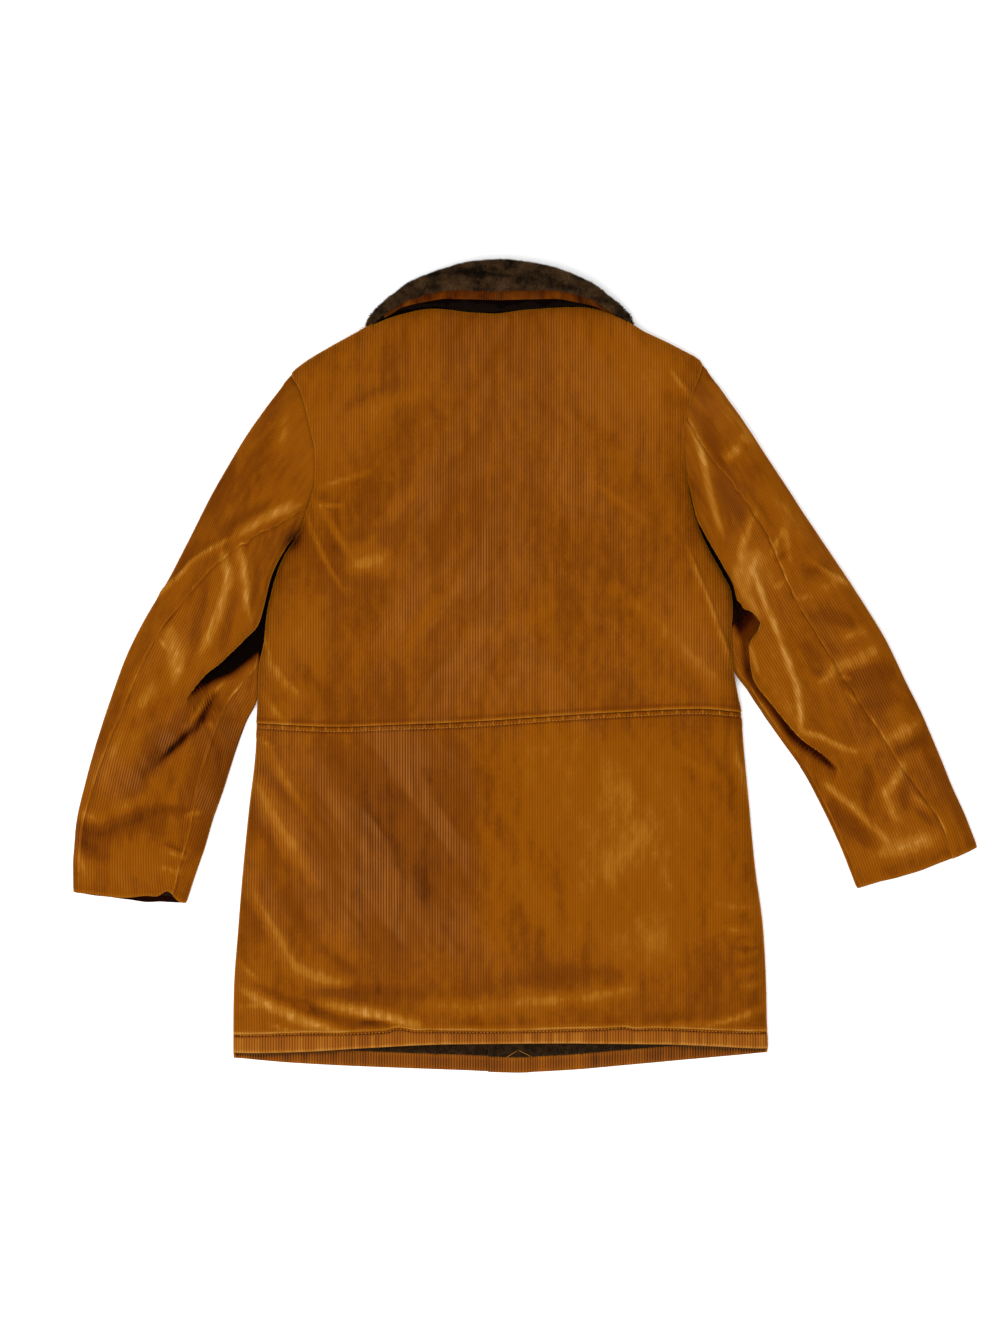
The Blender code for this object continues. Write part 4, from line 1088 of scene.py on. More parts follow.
def piece(name, points, faces, skin, values=None, turn=True):
    """A smooth object from points in millimetres, triangles and values kept at the points."""
    used, faces = np.unique(faces, return_inverse=True)
    faces = faces.reshape(-1, 3)
    points = (points[used] - np.array([CENTRE[0], CENTRE[1], 0])) * MM
    mesh = bpy.data.meshes.new(name)
    mesh.vertices.add(len(points))
    mesh.vertices.foreach_set("co", points.astype(np.float32).ravel())
    mesh.loops.add(faces.size)
    mesh.loops.foreach_set("vertex_index", faces.astype(np.int32).ravel())
    mesh.polygons.add(len(faces))
    mesh.polygons.foreach_set("loop_start", np.arange(0, faces.size, 3, dtype=np.int32))
    mesh.polygons.foreach_set("use_smooth", np.ones(len(faces), bool))
    mesh.update(calc_edges=True)
    if turn:
        shape = bmesh.new()
        shape.from_mesh(mesh)
        bmesh.ops.recalc_face_normals(shape, faces=shape.faces)
        shape.to_mesh(mesh)
        shape.free()
    for key, value in (values or {}).items():
        kept = mesh.attributes.new(key, "FLOAT", "POINT")
        kept.data.foreach_set("value", value[used].astype(np.float32))
    obj = bpy.data.objects.new(name, mesh)
    mesh.materials.append(skin)
    bpy.context.scene.collection.objects.link(obj)
    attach(obj, "root")
    return obj


def cloth_values(x, y, across, along, wale, crest, edge, crease, seed):
    """Tone with its painted light and shade, pale sheen lines, crest and place of corduroy at points of a
    panel; crease is what creases_at gives.
    """
    tone, rose = patches(x, y)
    bands, lines = nap_bands(x, y, seed)
    strength = 0.15 - 0.08 * ease((y - WAIST) / 40)
    tone = tone + MIDDLE_TONE + strength * (bands - 0.5)
    tone = tone + 0.14 * (fractal(across / 15, along / 75, seed) - 0.5)
    tone = tone + 0.06 * (lattice(wale + 0.5, along / 70, seed + 7) - 0.5)
    tone = tone + 0.07 * (lattice(wale + 0.5, along / 12, seed + 8) - 0.5)
    tone = tone + 0.11 * (fractal(across / 8, along / 10, seed + 12) - 0.5)
    # painted light and shade of the creases: lighter ridges, darker troughs, lit slopes, a broken highlight
    # line
    height, slant, wear_and_highlight = crease
    broken_highlight = 0.3 + 1.4 * fractal(across / 4.5, along / 13, seed + 11)
    lit = np.clip(0.09 * height, -0.13, 0.30) + 0.09 * wear_and_highlight
    tone = tone + np.where(lit > 0, broken_highlight * lit, 0.8 * lit) + np.clip(0.05 * slant, -0.05, 0.05)
    # painted highlight along the panel's edges
    tone = tone + 0.18 * bell(edge, 1.5)
    line = lattice(wale + 0.5, along / 60, seed + 9)
    rose = np.minimum(rose + 0.12, 1) * (0.3 + 0.7 * lines) * (0.35 + 0.65 * line)
    values = {"tone": tone, "rose": rose, "crest": crest, "across": across, "along": along}
    return {key: value * np.ones(tone.shape) for key, value in values.items()}


def plain_values(inner, kept, tone):
    """Values of an inner face of one tone, with no pale lines."""
    values = {"tone": tone, "rose": 0.0, "crest": 1.0, "across": 0.0, "along": 0.0}
    return {key: np.full(inner[kept].shape[:2], value) for key, value in values.items()}


def rows_between(first, last, extra=(), step=ROW):
    """Heights of a panel's rows, evenly spaced, with some more where a seam or hem needs them."""
    count = max(2, int(round((last - first) / step)) + 1)
    rows = np.sort(np.concatenate([np.linspace(first, last, count), np.array(extra, float)]))
    return rows[np.concatenate([[True], np.diff(rows) > 0.25])]


def kept_rows(values, step, close=-1):
    """Numbers of the rows that an inner face keeps: first, last, some between, and all below close."""
    kept = [0]
    for i in range(1, len(values) - 1):
        if values[i] - values[kept[-1]] >= step or values[i] < close:
            kept.append(i)
    return kept + [len(values) - 1]


def pucker(place, seed, pitch=14.0):
    """Uneven gathers along a seam, mostly small."""
    return 0.3 + 1.2 * lattice(place / pitch, 0.5, seed) ** 1.5


def seam_roll(edge, place, seed, drop, swell):
    """Cloth drawn down at a seam and swelling unevenly beside it."""
    return swell * pucker(place, seed) * bell(edge - 7, 4.5) - drop * bell(edge, 1.7)


def ticks(place, seed):
    """Short pleats across a stitched band, at uneven distances; the band is painted lighter on them."""
    cell = place / TICK_PITCH
    i = np.floor(cell)
    middle = 0.5 + 0.55 * (lattice(i + 0.5, 3.5, seed) - 0.5)
    return bell((cell - i - middle) * TICK_PITCH, 0.9) * (lattice(i + 0.5, 9.5, seed) > 0.25)


def wale_groove(x, y, crest, edge, seed):
    """Depth of the grooves between the wales, less where the cloth is crushed or sewn down."""
    crush = 0.55 + 0.45 * fractal(x / 34, y / 50, seed + 40)
    return (1 - crest) * GROOVE * crush * ease(edge / 3)


def slow_swell(x, y, seed):
    """Broad unevenness of the back."""
    return 2.4 * (fractal(x / 80, y / 100, seed + 20) - 0.5)


def upper_edges(u, rows, seam, values, seed):
    """Swell of the upper back beside the waist seam, with painted highlight and shade there and a painted
    highlight at the neck.
    """
    values["tone"] += 0.32 * bell(seam - 1.0, 1.5) * (0.6 + 0.4 * pucker(u, seed + 36, 9))
    values["tone"] -= 0.10 * bell(seam - 5.5, 2.2)
    values["tone"] += 0.16 * bell(NECK - rows, 3) * (np.abs(u) < NECK_HALF)
    return seam_roll(seam, u, seed + 31, 0.4, 0.7) + 0.8 * bell(seam - 1.5, 1.4)


def waist_band(u, seam, values, seed):
    """Swell of the stitched band below the waist seam, painted highlights on its pleats, painted shade at the
    seam and stitches.
    """
    tick = ticks(u, seed + 33) * (seam < WAIST_STITCH)
    below = seam - WAIST_STITCH
    values["tone"] += 0.34 * tick - 0.22 * bell(seam - 0.6, 1.0) - 0.20 * bell(below - 1.6, 1.3)
    gathers = 0.9 * pucker(u, seed + 32) * bell(below - 8, 6)
    return 0.5 * tick + gathers - 0.8 * bell(seam, 1.5) - 0.9 * bell(below, 1.3)


def hem_band(u, rows, values, seed):
    """Swell of the back's turned-up hem and stitch line, painted highlights on roll and edge, painted shade
    at the stitches.
    """
    over = rows - HEM_STITCH
    gathers = pucker(u, seed + 34, 17)
    stitch_shade = 0.20 + 0.24 * lattice(u / 45, 7.5, seed + 37)
    turned = ease(-(over + 1) / 2)
    # painted highlight on the roll above the stitches, painted shade along the stitch line
    values["tone"] += (0.30 + 0.30 * gathers) * bell(over - 3.2, 1.9) - stitch_shade * bell(over + 0.6, 1.0)
    # painted highlight on the hem's edge; uneven tone and pale sheen lines on the band below the stitches
    values["tone"] += 0.5 * bell(rows, 2.4) + 0.45 * (pucker(u, seed + 35, 5) - 0.55) * turned
    values["rose"] = np.where(over < -1, np.maximum(values["rose"], 0.6), values["rose"])
    band = 0.5 * (pucker(u, seed + 35, 11) - 0.5) * bell(rows - 8, 5)
    return band + (gathers - 0.5) * bell(over - 9, 6) - 0.8 * bell(over, 1.3)


def nap_step(u, rows, values):
    """The line down the skirt where the nap turns, so that its painted sheen turns lighter and its pale sheen
    lines stop.
    """
    step = np.clip((u - NAP_LINE) / 14, -1, 1)
    reach = ease((WAIST - 10 - rows) / 30) * ease((rows - 95) / 60)
    values["tone"] += 0.05 * step * reach
    values["rose"] = values["rose"] * (1 - reach * (0.5 + 0.5 * step) * 0.8)


def back_piece(part, first, last, extra, seed):
    """The upper or lower panel of the back, with its creases, seams and hem."""
    h = rows_between(first, last, extra)
    low, high = body["left"](h), body["right"](h)
    u, own, wale, crest = fit(low, high)
    rows = spread(h, u)
    base = back(u, rows)
    normal = faces_out(back, u, rows, PANEL_STEP, PANEL_STEP)
    x, y = base[..., 0], base[..., 1]
    side = np.minimum(u - low[:, None], high[:, None] - u)
    seam = np.abs(rows - WAIST)
    edge = np.minimum(side, seam)
    crease = creases_at(x, y, BACK_CREASES)
    swell = crease[0] * ease(side / 6) * ease((rows - HEM_STITCH) / 5)
    swell = swell + slow_swell(x, y, seed) * ease(edge / 25)
    swell = swell + seam_roll(side, rows, seed + 30, 0.3, 0.5)
    values = cloth_values(x, y, u, rows, wale, crest, side, crease, seed)
    if part == "upper":
        swell = swell + upper_edges(u, rows, seam, values, seed)
    else:
        swell = swell + waist_band(u, seam, values, seed) + hem_band(u, rows, values, seed)
        nap_step(u, rows, values)
    groove = wale_groove(x, y, crest, edge, seed)
    outer = base + normal * (swell - groove)[..., None]
    wall = CLOTH + (HEM_CLOTH - CLOTH) * ease((HEM_DEPTH + 1 - rows) / 2) * ease(side / 40)
    inner = base - normal * (wall - swell)[..., None]
    kept = kept_rows(h, BACK_INNER, 2.5 * HEM_DEPTH)
    inside = plain_values(inner, kept, BACK_INSIDE)
    return cloth_shell(f"back_{part}", outer, inner, own, kept, values, inside)


def back_line(x, height, sunk):
    """Points and normals of a level line on the dressed skirt."""
    h = np.full(x.shape, float(height))
    base = back(x, h)
    normal = faces_out(back, x, h, PANEL_STEP, PANEL_STEP)
    at = base[:, 0], base[:, 1]
    swell = creases_at(*at, BACK_CREASES)[0] + slow_swell(*at, SKIRT_SEED) - sunk
    return base + normal * swell[:, None], normal


def front_point(side):
    """The outer face of one front; the right one is raised where it lies on the left one."""

    def at(x, h):
        if side == "left":
            return front(x, h, 0.0)
        rise = LAP_RISE + (LAP_RISE_HEM - LAP_RISE) * (1 - ease((h - HEM_DEPTH - 2) / 40))
        return front(x, h, rise * (1 - ease((x - LAP_LEFT - 2) / 20)))

    return at


def front_piece(side, seed):
    """One front, with its creases and its turned-up hem, whose inside shows below the back."""
    h = rows_between(0, NECK, FRONT_EXTRA, FRONT_ROW)
    if side == "left":
        low, high = body["left"](h), np.full(h.shape, LAP_LEFT)
    else:
        low, high = np.full(h.shape, LAP_RIGHT), body["right"](h)
    u, own, wale, crest = fit(low, high)
    rows = spread(h, u)
    point = front_point(side)
    base = point(u, rows)
    normal = -faces_out(point, u, rows, PANEL_STEP, PANEL_STEP)
    x, y = base[..., 0], base[..., 1]
    beside, free = u - low[:, None], high[:, None] - u
    if side == "right":
        beside, free = free, beside
    edge = np.minimum(beside, free)
    crease = creases_at(x, y, FRONT_CREASES)[0]
    clear = ease(beside / 30) * ease((free - 24) / 30)
    clear = clear * ease((rows - HEM_DEPTH) / 30) * ease((700 - rows) / 60)
    raised = np.abs(crease) * clear
    groove = (1 - crest) * ease(edge / 3)
    values = cloth_values(x, y, u, rows, wale, crest, edge, (-crease, 0, 0), seed)
    outer = base - normal * (raised + 0.55 * groove)[..., None]
    turned = ease(HEM_DEPTH + 1 - rows)
    wall = CLOTH + (HEM_CLOTH - CLOTH) * turned * ease(beside / 40)
    hem_swell = turned * (0.4 * (pucker(u, seed + 3, 12) - 0.6) - 0.6 * groove)
    inner = base - normal * (wall + raised + hem_swell)[..., None]
    kept = kept_rows(h, FRONT_INNER, HEM_DEPTH + 3)
    above = ease((rows - HEM_DEPTH - 1) / 2)
    below_back = back(x, 0 * x)[..., 1] - y
    # inside of the hem band: painted highlights on its edges, uneven tone, and darker on the turned band
    tone = values["tone"] + 0.25 * bell(rows, 2.5) + 0.25 * bell(rows - HEM_DEPTH, 2.0)
    tone = tone + 0.30 * (pucker(u, seed + 6, 7) - 0.55)
    # painted shadow below the back's hem edge, painted shade above the hem and at the right front's free edge
    tone = tone - 0.9 * bell(below_back, 4.2) - 0.9 * above
    tone = tone - 0.7 * bell(free, 1.6) * (side == "right") - 0.22 * turned
    # pale sheen lines on the band, none above it
    rose = np.maximum(values["rose"], 0.5) * (1 - above)
    inside = {key: value[kept] for key, value in {**values, "tone": tone, "rose": rose}.items()}
    # painted shade on the outer face along the free edge above the hem
    values["tone"] -= 1.1 * above * bell(free, 2.5)
    return cloth_shell(f"front_{side}", outer, inner, own, kept, values, inside)


def sleeve_stations(sleeve, first, step):
    """Places along a sleeve, evenly spaced on its middle line, and their distances along it."""
    s = np.linspace(first, sleeve.last, 600)
    outer, inner = sleeve.edges(s)
    middle = (outer + inner) / 2
    length = np.concatenate([[0], np.cumsum(np.hypot(*np.diff(middle, axis=0).T))])
    along = np.linspace(0, length[-1], int(round(length[-1] / step)) + 1)
    return np.interp(along, length, s), along


def by_row(values, places, results):
    """Each row's values, read off the row's own line of places and results."""
    return np.array([np.interp(*row) for row in zip(values, places, results)])


def sleeve_columns(sleeve, part, s):
    """Place round the sleeve of each column along the wales, the edges of its rows, and what fit gives."""
    elbow = sleeve.seam("elbow", s)
    inseam = sleeve.seam("inseam", s)
    outer_edge = np.zeros(len(s))
    if part == "under":
        start, stop, first = outer_edge, inseam, elbow
    else:
        start, stop, first = inseam, elbow + RING_POINTS, inseam
        outer_edge = outer_edge + RING_POINTS
    q = start[:, None] + (stop - start)[:, None] * np.linspace(0, 1, RING_STEPS)[None]
    ring = sleeve.point(q, spread(s, q))
    length = np.cumsum(np.linalg.norm(np.diff(ring, axis=1), axis=-1), 1)
    length = np.concatenate([np.zeros((len(s), 1)), length], 1)
    length -= by_row(outer_edge, q, length)[:, None]
    if part == "top":
        # the wales keep beside the inner edge too, and spread or close up underneath
        inner_edge = by_row(np.full(len(s), TOP_POINTS - 1.0), q, length)
        length += (inner_edge.mean() - inner_edge)[:, None] * (1 - ease((q - 9.5) / 4.5))
    low = by_row(first, q, length) + SEAM_GAP / 2
    high = length[:, -1] - SEAM_GAP / 2
    fitted = fit(low, high)
    return by_row(fitted[0], length, q), low[:, None], high[:, None], fitted


def sleeve_form(sleeve, place, rows, u, cuff, seed):
    """Points and normals of a sleeve's cloth, run in under the armhole's rim and shaped at the cuff."""
    base = sleeve.point(place, rows)
    normal = sleeve.normals(place, rows)
    base[..., 2] += sleeve_join(sleeve, place, rows, base[..., 2])
    under_rim = base[1] - base[0]
    under_rim /= np.linalg.norm(under_rim, axis=-1, keepdims=True)
    base[0] -= under_rim * RIM_TUCK + np.array([0, 0, 1.0])
    bulge = CUFF_BULGE
    if sleeve.side == "left":
        up = faces_up(normal)
        base[..., 1] += cuff_peak(base[..., 0]) * up * (1 - ease(cuff / PEAK_REACH))
        bulge = CUFF_BULGE - 2.2 * up
    across, _, width = sleeve.flat(place, rows)
    near_cuff = 1 - ease(cuff / CUFF_REACH)
    base[..., 1] -= bulge * np.sin(np.pi * across / width) * near_cuff
    base[..., 1] += 3.0 * (lattice(u / 26, 0.5, seed + 50) - 0.5) * near_cuff
    return base, normal


def faces_up(normal):
    """1 where a sleeve's cloth faces up, easing to 0 at its sides."""
    return ease((normal[..., 2] - 0.1) / 0.35)


def sleeve_piece(sleeve, part, seed):
    """The top or under piece of a sleeve, with its creases, seams and tuck."""
    side = sleeve.side
    s, along = sleeve_stations(sleeve, SLEEVE_START, ROW)
    place, low, high, (u, own, wale, crest) = sleeve_columns(sleeve, part, s)
    rows, run = spread(s, u), spread(along, u)
    cuff = along[-1] - run
    base, normal = sleeve_form(sleeve, place, rows, u, cuff, seed)
    x, y = base[..., 0], base[..., 1]
    up, lift, level = faces_up(normal), ease(base[..., 2] / 3), normal[..., 2]
    edge, ends = np.minimum(u - low, high - u), np.minimum(run, cuff)
    elbow, inseam = (u - low, high - u) if part == "under" else (high - u, u - low)
    crease = [value * up for value in creases_at(x, y, SLEEVE_CREASES[side])]
    swell = crease[0] * ease(edge / 5) * ease(ends / 8)
    swell = swell + up * 2.0 * (fractal(x / 50, y / 60, seed + 20) - 0.5) * ease(edge / 15) * ease(ends / 20)
    swell = swell + lift * seam_roll(elbow, run, seed + 30, 0.9, ELBOW_SWELL[side])
    swell = swell + lift * seam_roll(inseam, run, seed + 31, 0.7, 0.6)
    swell = swell + lift * seam_roll(run, u, seed + 32, 0.3, 0.8)
    swell = swell - 0.5 * bell(cuff, 2) * lift
    swell = np.where(level < -0.3, np.minimum(swell, 0), swell)
    # the creases' painted light and shade are stronger on the sleeves
    strong = [1.35 * value for value in crease]
    values = cloth_values(x, y, u, run, wale, crest, FAR, strong, seed)
    # painted highlight beside one seam and painted shade beside the other, in uneven flecks
    flecks = pucker(run, seed + 33, 5) * (0.1 + 1.5 * lattice(run / 18, 0.5, seed + 34) ** 1.5)
    pale, dark = (elbow, inseam) if part == "top" else (inseam, elbow)
    values["tone"] += lift * flecks * (0.34 * bell(pale - 0.9, 1.3) - 0.16 * bell(dark - 0.9, 1.5))
    # painted light on the sides that slope steeply and at the cuff's edge
    values["tone"] += 0.12 * ease((0.45 - level) / 0.3) * (level > -0.1) + 0.24 * bell(cuff, 2.4)
    # painted highlight on the rim of the tuck's lip; painted shade under it
    rim = bell(place - 5.8, 0.25) * ease(sleeve.column["fold"](rows) / 0.3)
    shade = sleeve_shade(sleeve, place, rows)
    values["tone"] = (values["tone"] + 0.20 * rim) * (1 - shade) - 0.1 * shade
    values["rose"] *= np.clip(1 - 1.6 * shade, 0, 1)
    groove = wale_groove(x, y, crest, np.minimum(edge, ends), seed)
    outer = base + normal * (swell - groove)[..., None]
    outer[..., 2] = np.maximum(outer[..., 2], 0)
    inner = base - normal * (CLOTH - swell)[..., None]
    inner[..., 2] = np.maximum(inner[..., 2], INNER_FLOOR)
    kept = kept_rows(along, SLEEVE_INNER)
    inside = plain_values(inner, kept, SLEEVE_INSIDE)
    return cloth_shell(f"sleeve_{side}_{part}", outer, inner, own, kept, values, inside)


def cuff_peak(x):
    """How far the upper layer of the left cuff draws back and opens, by its place across."""
    middle = (x - coat(PEAK_PIXEL, 0)[0]) / PIXEL
    return 11.0 * bell(middle, 8) + 5.5 * bell(middle + 18, 15)


def sleeve_join(sleeve, place, rows, z):
    """How far the upper layer sinks at the armhole to meet the edge of the back."""
    over = ease(place / 1.2) * ease((TOP_POINTS - 1.6 - place) / 1.2)
    over = np.maximum(over, ease((place - RING_POINTS) / 1.2) * (place > RING_POINTS))
    across, _, width = sleeve.flat(place, rows)
    top, bottom = sleeve.armhole
    side = body[f"{sleeve.side}_z"](top + (bottom - top) * across / width) + SEAM_GAP
    return (side - z) * over * np.clip(1 - rows / 0.9, 0, 1) ** 2


def sleeve_shade(sleeve, place, rows):
    """Deep shade under the lip of the tuck, and where the sleeve dips beside the body."""
    across, _, width = sleeve.flat(place, rows)
    lip = width - sleeve.column["lip"](rows)
    fold = sleeve.column["fold"](rows)
    shade = {name: curve(SHADE[sleeve.side], i)(rows) for i, name in enumerate(SHADE_COLUMNS) if i}
    cleared = ease((across - lip - shade["start"]) / shade["fade"])
    under = ease((place - 6.45) / 0.45) * ease(11 - place) * (1 - cleared)
    near = bell(width - across, np.maximum(shade["beside"], 0.01)) * (place > 3) * (place < 11)
    return np.clip(under * ease(fold / 0.3) + near, 0, 1) * shade["depth"]


def cuff_piece(sleeve):
    """The lining that shows in the mouth of a cuff."""
    first, last = CUFF_SECTIONS[sleeve.side]
    s = np.linspace(first, last, 24)
    q = np.linspace(0, RING_POINTS, 96, endpoint=False)
    rows, place = np.meshgrid(s, q, indexing="ij")
    base = sleeve.point(place, rows)
    normal = sleeve.normals(place, rows)
    crease = creases_at(base[..., 0], base[..., 1], SLEEVE_CREASES[sleeve.side])[0]
    trough = np.minimum(crease - CUFF_DROP, 0)
    base = base + normal * (trough * ease(normal[..., 2]))[..., None]
    base[..., 2] *= 1 - 0.35 * ease((first + 1.3 - rows) / 1.3)
    near = CLOTH + SEAM_GAP
    wave = 0.5 * (fractal(place * 1.5, rows * 3, 71) - 0.5)
    inner = base - normal * (near + CUFF_LINING + wave)[..., None]
    name = f"cuff_lining_{sleeve.side}"
    return ring_shell(f"{name}_cloth", base - normal * near, inner, lining_skin(name))


def lining(name, base, normal, x, rows, reach, count, seed):
    """Pile lining under a panel's inside, and its tufts that show in the coat's mouth, up to a height."""
    skin = pile_skin(name, *LINING_TONES)
    near = CLOTH + SEAM_GAP
    lump = 1.2 * (fractal(x / 9, rows / 9, seed) - 0.5)
    inner = base - normal * (near + PILE_LINING + lump)[..., None]
    own = np.repeat(np.arange(x.shape[1])[None], len(x), 0)
    values = {"tip": np.zeros(x.shape), "shade": np.full(x.shape, 0.5)}
    kept = list(range(len(x)))
    made = shell(f"{name}_pile", base - normal * near, inner, own, kept, skin, values, values)
    at, n = on_grid(inner, -normal, (rows < reach).astype(float), count, seed + 1, False)
    fur = tufts(f"{name}_tufts", at, n, LINING_TUFT, skin, seed + 2, (0, -0.5, 0))
    return made, fur


def lining_back():
    """Pile lining inside the back, above its hem, kept below the back's troughs."""
    h = rows_between(HEM_DEPTH + 1, LINING_TOP, (), LINING_ROW)
    low, high = body["left"](h)[:, None], body["right"](h)[:, None]
    shares, columns, reach, count = LINING_BACK
    x = low + (high - low) * np.linspace(*shares, columns)[None]
    rows = spread(h, x)
    base = back(x, rows)
    normal = faces_out(back, x, rows, PANEL_STEP, PANEL_STEP)
    trough = np.minimum(creases_at(base[..., 0], base[..., 1], BACK_CREASES)[0], 0) - LINING_DROP
    base = base + normal * (trough * ease((rows - HEM_DEPTH - 4) / 10))[..., None]
    return lining("lining_back", base, normal, x, rows, reach, count, 61)


def lining_front(side, seed):
    """Pile lining inside one front, above its hem."""
    h = rows_between(HEM_DEPTH + 1, LINING_TOP, (), LINING_ROW)
    edge = body[side](h)[:, None]
    first = LAP_RIGHT - 2 * SEAM_GAP if side == "left" else LAP_RIGHT
    shares, columns, reach, count = LINING_FRONT
    x = edge + (first - edge) * np.linspace(*shares, columns)[None]
    rows = spread(h, x)
    point = front_point(side)
    normal = -faces_out(point, x, rows, PANEL_STEP, PANEL_STEP)
    return lining(f"lining_front_{side}", point(x, rows), normal, x, rows, reach, count, seed)


def smooth_line(values):
    """The same line with its small steps evened out, its ends kept."""
    padded = np.concatenate([np.full(SMOOTHING, values[0]), values, np.full(SMOOTHING, values[-1])])
    weights = np.hanning(2 * SMOOTHING + 1)
    return np.convolve(padded, weights / weights.sum(), "valid")


def smooth_rows(grid, times):
    """The same rows of points with the bends between them evened out."""
    for _ in range(times):
        grid = np.apply_along_axis(smooth_line, 0, grid)
    return grid


def closed_curve(points, count):
    """A smooth closed line through each row's points."""
    total = points.shape[1]
    place = np.linspace(0, total, count, endpoint=False)
    i = np.floor(place).astype(int)
    t = (place - i)[None, :, None]
    p = [points[:, (i + k - 1) % total] for k in range(4)]
    return 0.5 * (
        2 * p[1] + (p[2] - p[0]) * t + (2 * p[0] - 5 * p[1] + 4 * p[2] - p[3]) * t ** 2
        + (3 * p[1] - p[0] - 3 * p[2] + p[3]) * t ** 3
    )


def collar_rows(last, count):
    """Rows of COLLAR from one end to the other, each with the side that it lies on."""
    half = {name: curve(numbered(COLLAR), i + 1) for i, name in enumerate(COLLAR_COLUMNS)}
    rows = []
    for place in np.linspace(-last, last, count):
        side = 1 if place < 0 else -1
        rows.append((side, {name: float(half[name](abs(place))) for name in COLLAR_COLUMNS}))
    return rows


def grid_normals(grid):
    """Outward normals of rows of closed rings."""
    n = np.cross(np.roll(grid, -1, 1) - np.roll(grid, 1, 1), np.gradient(grid, axis=0))
    n = n / np.maximum(np.linalg.norm(n, axis=-1, keepdims=True), 1e-9)
    return -n if np.sum(n * (grid - grid.mean(1, keepdims=True))) < 0 else n


def collar_top():
    """The pile collar with its creases, its ragged leaf edge and its tufts."""
    skin = pile_skin("collar_pile", *COLLAR_TONES)
    last = len(COLLAR) - 1
    count, points = COLLAR_GRID
    grid = closed_curve(smooth_rows(collar_points(collar_rows(last, count), pile_profile), 2), points)
    normal = grid_normals(grid)
    place, turn = np.meshgrid(np.linspace(-last, last, count), np.arange(float(points)), indexing="ij")
    far = np.abs(place)
    lump = 1.4 * (fractal(place * 6, turn / 3, 81) - 0.5) + 2.6 * (fractal(place * 2.4, turn / 9, 82) - 0.5)
    lump = lump + creases_at(grid[..., 0], grid[..., 1], COLLAR_CREASES)[0] * ease(normal[..., 2] / 0.3)
    grid = grid + normal * (lump * ease((last - 4 - far) / 2))[..., None]
    grid[..., 2] = np.maximum(grid[..., 2], 0)
    half = points / 2
    ragged = bell((turn + half) % points - half, 3) * ease((7 - far) / 2)
    grid[..., 1] -= 3.0 * (fractal(place * 7, 0.5, 87) - 0.5) * ragged
    # points out of sight are painted near black: painted shade in the slot under the collar
    hidden = (turn > COLLAR_HIDDEN[0]) & (turn < COLLAR_HIDDEN[1])
    values = {"tip": np.where(hidden, 1.0, 0.0), "shade": np.where(hidden, -1.0, 0.5)}
    made = tube_piece("collar_top_pile", grid, skin, values)
    face = (turn > COLLAR_FACE[0]) | (turn < COLLAR_FACE[1])
    face = face & (normal[..., 2] > -0.35) & (far < COLLAR_SEEN)
    at, n = on_grid(grid, normal, face.astype(float), COLLAR_TUFTS, 83, True)
    # random mottling of the tufts, with painted light on the collar's ridges and painted shade in its troughs
    mottle_and_crease_light = 2.4 * (fractal(at[:, 0] / 13, at[:, 1] / 8, 86) - 0.5) - 0.15
    mottle_and_crease_light = mottle_and_crease_light + 0.35 * creases_at(at[:, 0], at[:, 1], COLLAR_CREASES)[0]
    fur = tufts("collar_top_tufts", at, n, COLLAR_TUFT, skin, 84, (0, -0.25, 0), 0.55, mottle_and_crease_light)
    return made, fur


def collar_under():
    """The under collar, whose edge shows as a strip of cloth below the pile."""
    count, points = UNDER_GRID
    grid = collar_points(collar_rows(UNDER_ROWS, count), under_profile)
    grid = closed_curve(smooth_rows(grid, 6), points)
    place, turn = np.meshgrid(np.linspace(0, UNDER_LENGTH, count), np.arange(float(points)), indexing="ij")
    grid = grid - bell(turn - 34, 3)[..., None] * np.array(COLLAR_FOOT)
    x, y = grid[..., 0], grid[..., 1]
    crest = 0.5 + 0.5 * np.cos(2 * math.pi * place / WALE)
    values = cloth_values(x, y, place, turn * 2, place // WALE, crest, FAR, (0, 0, 0), 91)
    # painted shade on the part of the under collar that lies deep in the slot
    shade = ease((turn - 22) / 5) * ease((63 - turn) / 2)
    values["tone"] += 0.4 * (fractal(place / 22, turn / 12, 92) - 0.5) - 0.22 - 1.2 * shade
    values["rose"] *= 1 - shade
    return tube_piece("collar_under_cloth", grid, corduroy("collar_under_corduroy"), values)


def tufts(name, points, normals, size, skin, seed, flow, tilt=0.5, lighter=0):
    """Short tapering tufts of pile standing on the given points; size is their length and half width."""
    rng = np.random.default_rng(seed)
    count = len(points)
    lean = normals + rng.normal(0, tilt, (count, 3)) + np.array(flow)
    lean /= np.linalg.norm(lean, axis=1, keepdims=True)
    side = np.cross(lean, rng.normal(0, 1, (count, 3)))
    side /= np.linalg.norm(side, axis=1, keepdims=True)
    other = np.cross(lean, side)
    tall = size[0] * rng.uniform(0.55, 1.15, count)[:, None]
    thick = size[1] * rng.uniform(0.7, 1.3, count)[:, None]
    foot = points - lean * TUFT_ROOT
    corners = [foot + thick * (side * math.cos(a) + other * math.sin(a)) for a in TUFT_CORNERS]
    tip = points + lean * tall
    tip[:, 2] = np.maximum(tip[:, 2], 0.1)
    made = np.stack([*corners, tip], 1).reshape(-1, 3)
    made[:, 2] = np.maximum(made[:, 2], 0.05)
    faces = repeated(np.array([[0, 1, 3], [1, 2, 3], [2, 0, 3], [0, 2, 1]]), count)
    shade = rng.uniform(0, 1, count) + lighter
    values = {"tip": np.tile([0.0, 0.0, 0.0, 1.0], count), "shade": np.repeat(shade, 4)}
    return piece(name, made, faces, skin, values, turn=False)


